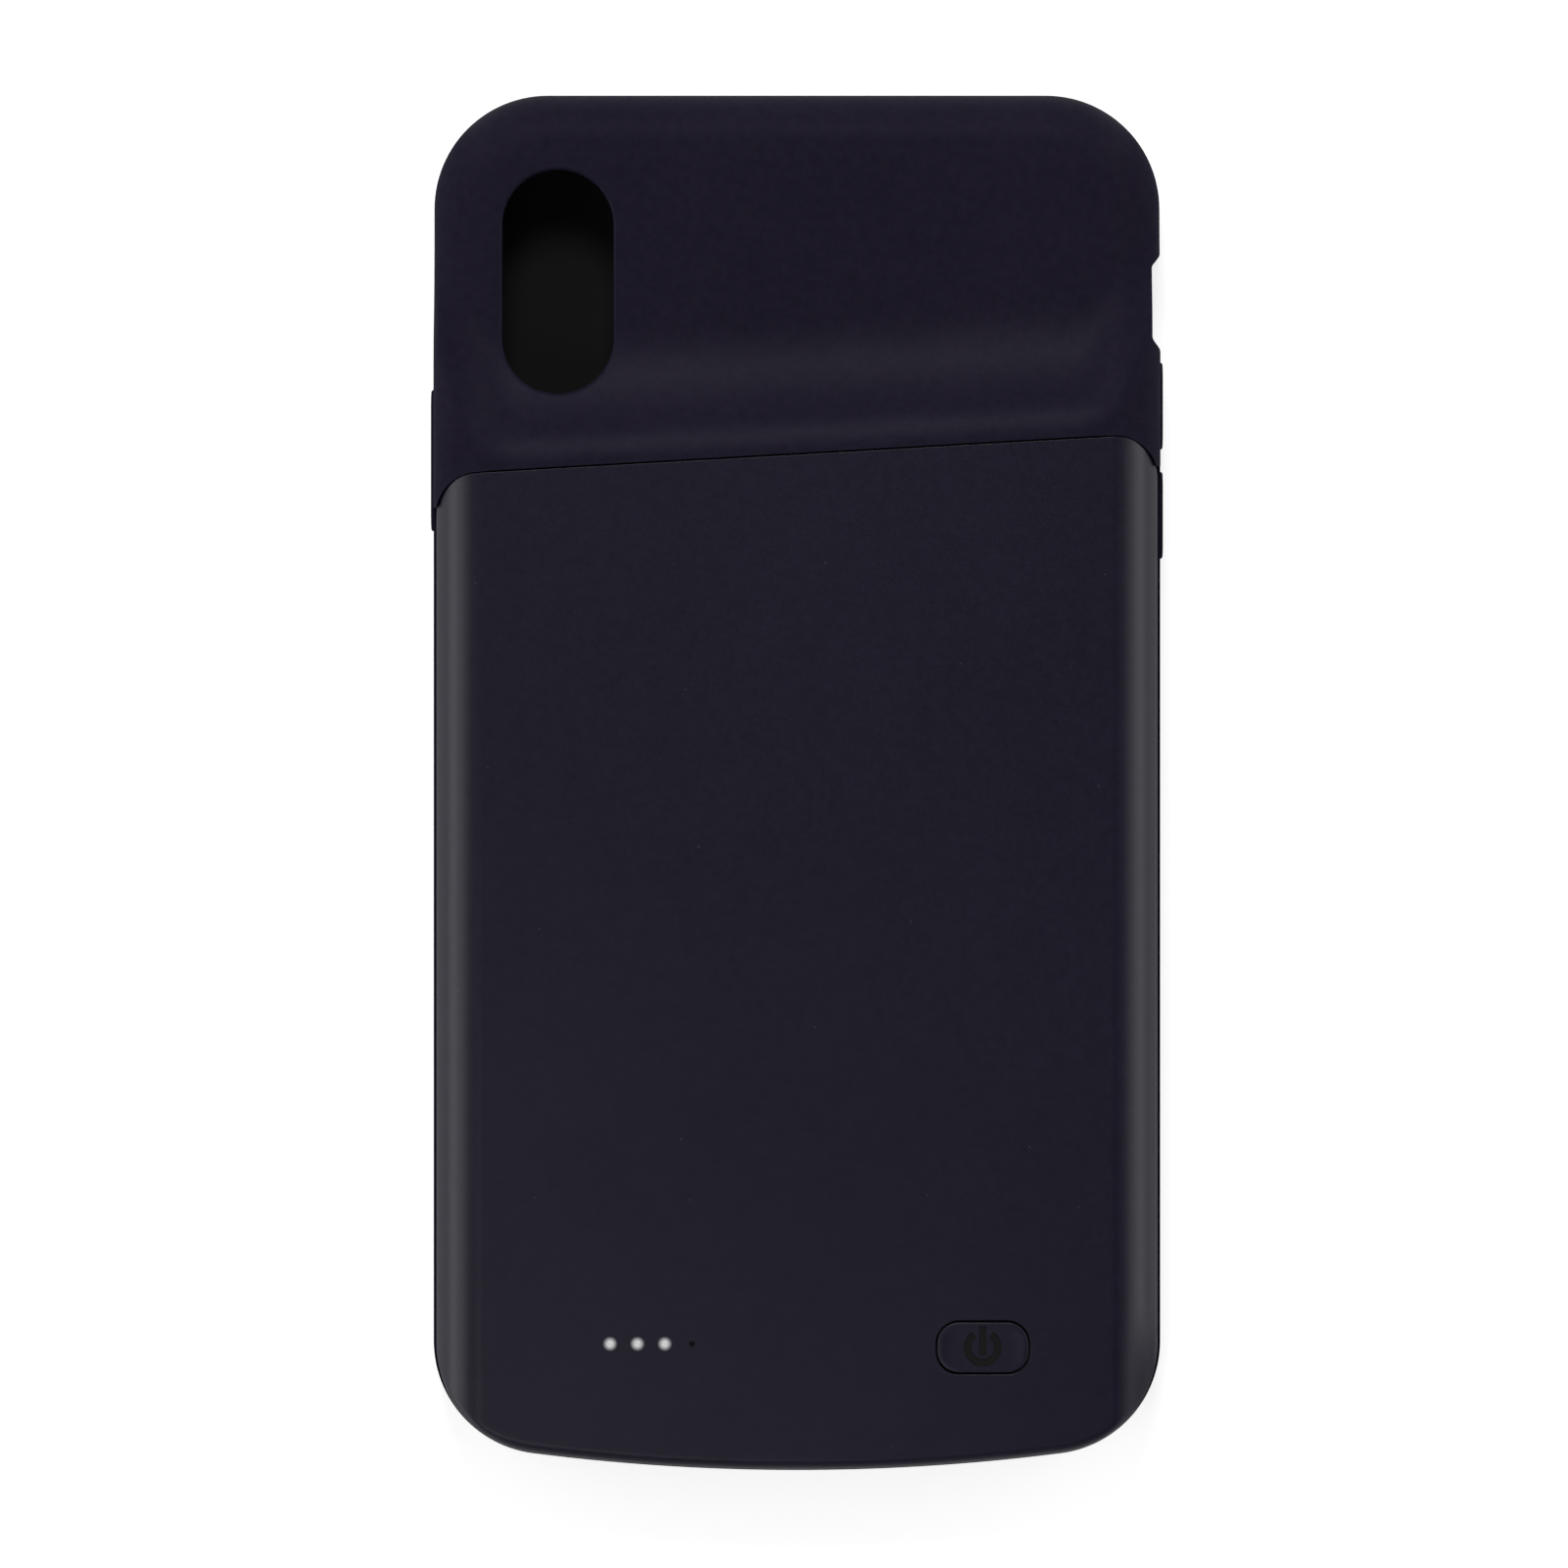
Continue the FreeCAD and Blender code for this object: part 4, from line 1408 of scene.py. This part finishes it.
@dataclass
class BatteryCover:
    """The hard cover over the battery: flat back, rolled long edges, crisp seam edge."""

    wall: float = 1.3
    end_round: float = 1.0
    end_turn: float = 75.0
    seam_round: float = 0.05
    side_round: float = 0.06
    edge_turns: int = 6
    flat_rows: Span = (0.25, 0.9)
    roll_from: float = 12.0
    roll_steps: int = 18
    inner_steps: int = 8
    lights: ChargeLights = field(default_factory=ChargeLights)
    button: PowerButton = field(default_factory=PowerButton)

    def section(self, x: float, inset: float) -> float:
        """The height of the rolled section.

        Args:
            x: The place across the case.
            inset: How far the section is moved inwards.

        Returns:
            The height in millimetres.
        """
        r = PLAN.edge_round - inset
        past = min(max(abs(x) - PLAN.roll_start, 0.0), r)
        return PLAN.back - inset - r + math.sqrt(r**2 - past**2)

    def edge_at(self, x: float, y: float) -> float:
        """The rounding of the cover's edge, fuller at the chin.

        Args:
            x: The point of its outline across the case.
            y: The point of its outline along the case.

        Returns:
            The radius in millimetres.
        """
        cx, cy, _, _ = PLAN.lower_corner()
        if y < cy:
            angle = math.degrees(math.atan2(y - cy, abs(x) - cx)) if abs(x) > cx else -90.0
            share, there = share_between(-angle, 0.0, self.end_turn), self.end_round
        else:
            share, there = share_between(PLAN.past_seam(x, y), -PLAN.seam_corner, 0.0), self.seam_round
        return self.side_round + (there - self.side_round) * share

    def build(self, finish: Material) -> Solid:
        """Models the cover.

        Args:
            finish: Its coat, with the lights' glow.

        Returns:
            The finished piece.
        """
        cover = self.outer_block()
        tools = [self.inner_tool(), self.button.hole()]
        for x, y in self.lights.places():
            plan = circle(x, y, self.lights.radius, self.lights.steps)
            tools.append(prism("pinhole", plan, PLAN.ceiling - CLEAR, PLAN.back + CLEAR))
        carve(cover, tools)
        settle(cover)
        cover.name = "coated_cover"
        dress(cover, finish)
        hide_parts("battery_cover")
        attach(cover, "case")
        return cover

    def outer_block(self) -> Solid:
        """Models the cover's outer form as a solid.

        Returns:
            The block.
        """
        outline = PLAN.housing(0.0)
        edges = [self.edge_at(x, y) for x, y in outline]
        rings = [at_height(outline, PLAN.tray_top)]
        for c, s in quarter(self.edge_turns):
            rings.append([(*PLAN.housing(edge * c)[index], PLAN.back - edge * s)
                          for index, edge in enumerate(edges)])
        for extra in self.flat_rows:
            points = [PLAN.housing(edge + extra)[index] for index, edge in enumerate(edges)]
            rings.append(at_height(points, PLAN.back))
        return self.rolled(loft("cover_block", rings), 0.0, self.roll_steps, PLAN.back)

    def inner_tool(self) -> Solid:
        """Models the space inside the cover.

        Returns:
            The closed tool.
        """
        tool = prism("cover_inside", PLAN.housing(self.wall), PLAN.tray_top - CLEAR, PLAN.ceiling)
        return self.rolled(tool, self.wall, self.inner_steps, PLAN.ceiling)

    def rolled(self, block: Solid, inset: float, steps: int, flat: float) -> Solid:
        """Rolls the long edges of a flat block over.

        Args:
            block: The block to change.
            inset: How far the rolled section is moved inwards.
            steps: The slices in each edge.
            flat: The height of the block's flat top.

        Returns:
            The same block.
        """
        radius = PLAN.edge_round - inset
        turns = [math.radians(90 * index / steps) for index in range(steps)]
        slice_columns(block, [PLAN.roll_start + radius * math.sin(turn) for turn in turns], self.roll_from)
        reshape(block, self.roll_from, lambda p: self.section(p[0], inset) - flat)
        return block


@dataclass
class InnerParts:
    """The pieces inside the housing and in the chin, which keep their solids and get real finishes."""

    finishes: tuple[tuple[Finish, tuple[str, ...]], ...] = (
        (Moulding("tray_plastic", (0.0075, 0.0070, 0.0100), (0.0095, 0.0090, 0.0125), (0.45, 0.58), 0.35),
         ("inner_tray",)),
        (Moulding("connector_plastic", (0.006, 0.006, 0.0065), (0.010, 0.010, 0.0105), (0.4, 0.5)),
         ("plug_base", "plug_liner", "port_tongue", "switch_body")),
        (Moulding("paper_tape", (0.62, 0.62, 0.57), (0.74, 0.74, 0.69), (0.7, 0.85), 0.2, 1800.0),
         ("cell_tape",)),
        (Moulding("red_insulation", (0.32, 0.008, 0.006), (0.42, 0.012, 0.009), (0.35, 0.45)),
         ("lead_positive",)),
        (Moulding("black_insulation", (0.004, 0.004, 0.0045), (0.008, 0.008, 0.009), (0.35, 0.45)),
         ("lead_negative",)),
        (Moulding("light_resin", (0.78, 0.76, 0.62), (0.88, 0.86, 0.74), (0.2, 0.3)), ("led_chips",)),
        (Moulding("plunger_plastic", (0.45, 0.45, 0.42), (0.56, 0.56, 0.53), (0.35, 0.45)),
         ("switch_plunger",)),
        (Moulding("chip_resin", (0.005, 0.005, 0.0055), (0.009, 0.009, 0.0095), (0.5, 0.62)),
         ("charge_chip",)),
        (Moulding("ferrite", (0.02, 0.02, 0.021), (0.04, 0.04, 0.042), (0.5, 0.65), 0.4, 2400.0, 4e-5),
         ("boost_inductor",)),
        (Moulding("capacitor_ceramic", (0.24, 0.13, 0.07), (0.34, 0.20, 0.11), (0.35, 0.5)),
         ("capacitors",)),
        (Moulding("amber_film", (0.26, 0.075, 0.008), (0.36, 0.12, 0.014), (0.18, 0.3)), ("flex_cable",)),
        (CircuitBoard(), ("main_board", "chin_board", "protection_board")),
        (PouchFoil(), ("battery_cell",)),
        (DrawnMetal("drawn_steel"), ("plug_shell", "port_shell", "board_screws")),
        (DrawnMetal("nickel_strip", (0.50, 0.48, 0.44), (0.66, 0.64, 0.60)), ("cell_tabs",)))

    def build(self, lights: ChargeLights) -> None:
        """Dresses every inner piece.

        Args:
            lights: The charge lights, for the guide's one tip in painted shade.
        """
        guide = ClearGuide(dark_at=lights.places(Light.DARK)[0])
        for finish, nodes in (*self.finishes, (guide, ("light_guide",))):
            material = finish.make()
            for node in nodes:
                dress(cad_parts[node], material)
                log.info("%s: dressed in %s", node, finish.name)


# Stage


@dataclass(frozen=True)
class SoftBox:
    """A round soft box that points at the case, in metres and watts."""

    name: str
    place: Point
    size: float
    power: float

    def hang(self) -> None:
        """Adds the light to the scene."""
        data = bpy.data.lights.new(self.name, "AREA")
        data.shape = "DISK"
        data.size = self.size
        data.energy = self.power
        lamp = bpy.data.objects.new(self.name, data)
        lamp.location = self.place
        lamp.rotation_euler = (-Vector(self.place)).to_track_quat("-Z", "Y").to_euler()
        bpy.context.scene.collection.objects.link(lamp)


@dataclass
class Studio:
    """The white floor, the soft light round the case and the camera above it."""

    floor_size: float = 4.0
    floor_cuts: int = 3
    floor_drop: float = 6e-5
    white: StudioBoard = StudioBoard("studio_white", (0.80, 0.80, 0.80), 0.70, 0.1)
    # A near-black board of painted shade, laid under the case
    shade: StudioBoard = StudioBoard("studio_shade", (0.02, 0.02, 0.02))
    painted_shade_inset: float = 1.6
    painted_shade_levels: Span = (-0.05, -0.02)
    wall_light: float = 2.8
    wall_limit: float = 1.9
    wall_top: float = 0.955
    end_share: float = 0.2
    corner_dim: float = 0.55
    above_zero: float = 1e-6
    boxes: tuple[SoftBox, ...] = (SoftBox("soft_box_top", (-0.05, 0.70, 1.0), 0.36, 4.4),
                                  SoftBox("soft_box_low", (-0.13, -0.20, 0.62), 0.20, 0.19))
    pixels_per_mm: float = 9.27
    image: int = 1601
    centre: Spot = (813.7, 798.6)
    distance: float = 1.6
    plane: float = 9.0
    sensor: float = 36.0
    sight: float = 20.0

    def build(self) -> None:
        """Sets up floor, light and camera."""
        self.floor()
        self.world()
        for box in self.boxes:
            box.hang()
        self.camera()
        bpy.context.scene.view_settings.view_transform = "Standard"

    def floor(self) -> None:
        """Lays a wide pale floor that shows white, with a near-black sheet of painted shade under the case,
        which keeps the view through the camera window dark.
        """
        clear_selection()
        bpy.ops.mesh.primitive_plane_add(size=self.floor_size)
        floor = bpy.context.object
        floor.name = "studio_floor"
        bpy.ops.object.mode_set(mode="EDIT")
        bpy.ops.mesh.subdivide(number_cuts=self.floor_cuts)
        bpy.ops.transform.translate(value=(0.0, 0.0, -self.floor_drop))
        bpy.ops.object.mode_set(mode="OBJECT")
        dress(floor, self.white.make())
        # Painted shade: a near-black sheet under the case, so the floor seen through the camera window
        # stays dark
        painted_shade_sheet = prism("studio_painted_shade_sheet", PLAN.outline(self.painted_shade_inset), *self.painted_shade_levels)
        dress(painted_shade_sheet, self.shade.make())

    def world(self) -> None:
        """Sets up pale walls of light along both sides, dimmer at the ends and dark overhead."""
        world = bpy.data.worlds.new("studio_surroundings")
        bpy.context.scene.world = world
        bench = NodeBench(world, "Generated")
        sums = bench.sums
        x, y, z = (bench.axis(name) for name in "XYZ")
        low = sums(Sum.HIGHEST, sums(Sum.LESS, self.wall_top, sums(Sum.SIZE, z)), 0.0)
        wall = sums(Sum.LOWEST, sums(Sum.TIMES, low, self.wall_light), self.wall_limit)
        squares = sums(Sum.ADD, sums(Sum.TIMES, x, x), sums(Sum.TIMES, y, y))
        flat = sums(Sum.ADD, squares, self.above_zero)
        across = sums(Sum.OVER, sums(Sum.TIMES, x, x), flat)
        sideways = sums(Sum.ADD, sums(Sum.TIMES, across, 1.0 - self.end_share), self.end_share)
        below = sums(Sum.HIGHEST, sums(Sum.TIMES, y, -1.0), 0.0)
        lower_right = sums(Sum.OVER, sums(Sum.TIMES, sums(Sum.HIGHEST, x, 0.0), below), flat)
        # The lower right is a half at its strongest, so it counts twice
        dim = sums(Sum.LESS, 1.0, sums(Sum.TIMES, lower_right, 2.0 * self.corner_dim))
        strength = sums(Sum.TIMES, sums(Sum.TIMES, wall, sideways), dim)
        bench.feed(bench.tree.nodes["Background"], {"Color": (1.0, 1.0, 1.0), "Strength": strength})

    def camera(self) -> None:
        """Puts a long lens straight above the back."""
        data = bpy.data.cameras.new("above")
        data.sensor_width = self.sensor
        data.lens = self.sensor * self.distance / (self.image / self.pixels_per_mm * MM)
        data.clip_end = self.sight
        camera = bpy.data.objects.new("above", data)
        x = (self.image / 2 - self.centre[0]) / self.pixels_per_mm
        y = (self.centre[1] - self.image / 2) / self.pixels_per_mm
        camera.location = (x * MM, y * MM, self.distance + self.plane * MM)
        bpy.context.scene.collection.objects.link(camera)
        bpy.context.scene.camera = camera


def main() -> None:
    """Builds the case, its inner parts and the studio, and logs each piece's face count."""
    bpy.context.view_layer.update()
    cover = BatteryCover()
    lights, button = cover.lights, cover.button
    coat = SoftTouchCoat(lights=tuple(lights.places(Light.LIT)))
    key_coat = SoftTouchCoat(name="key_coat", sign=(button.x, button.y, button.sign_floor()))
    for piece in (SoftShell().build(), cover.build(coat.make()), button.build(key_coat.make())):
        log.info("%s: %d faces", piece.name, len(piece.data.polygons))
    InnerParts().build(lights)
    Studio().build()


if __name__ == "__main__":
    main()
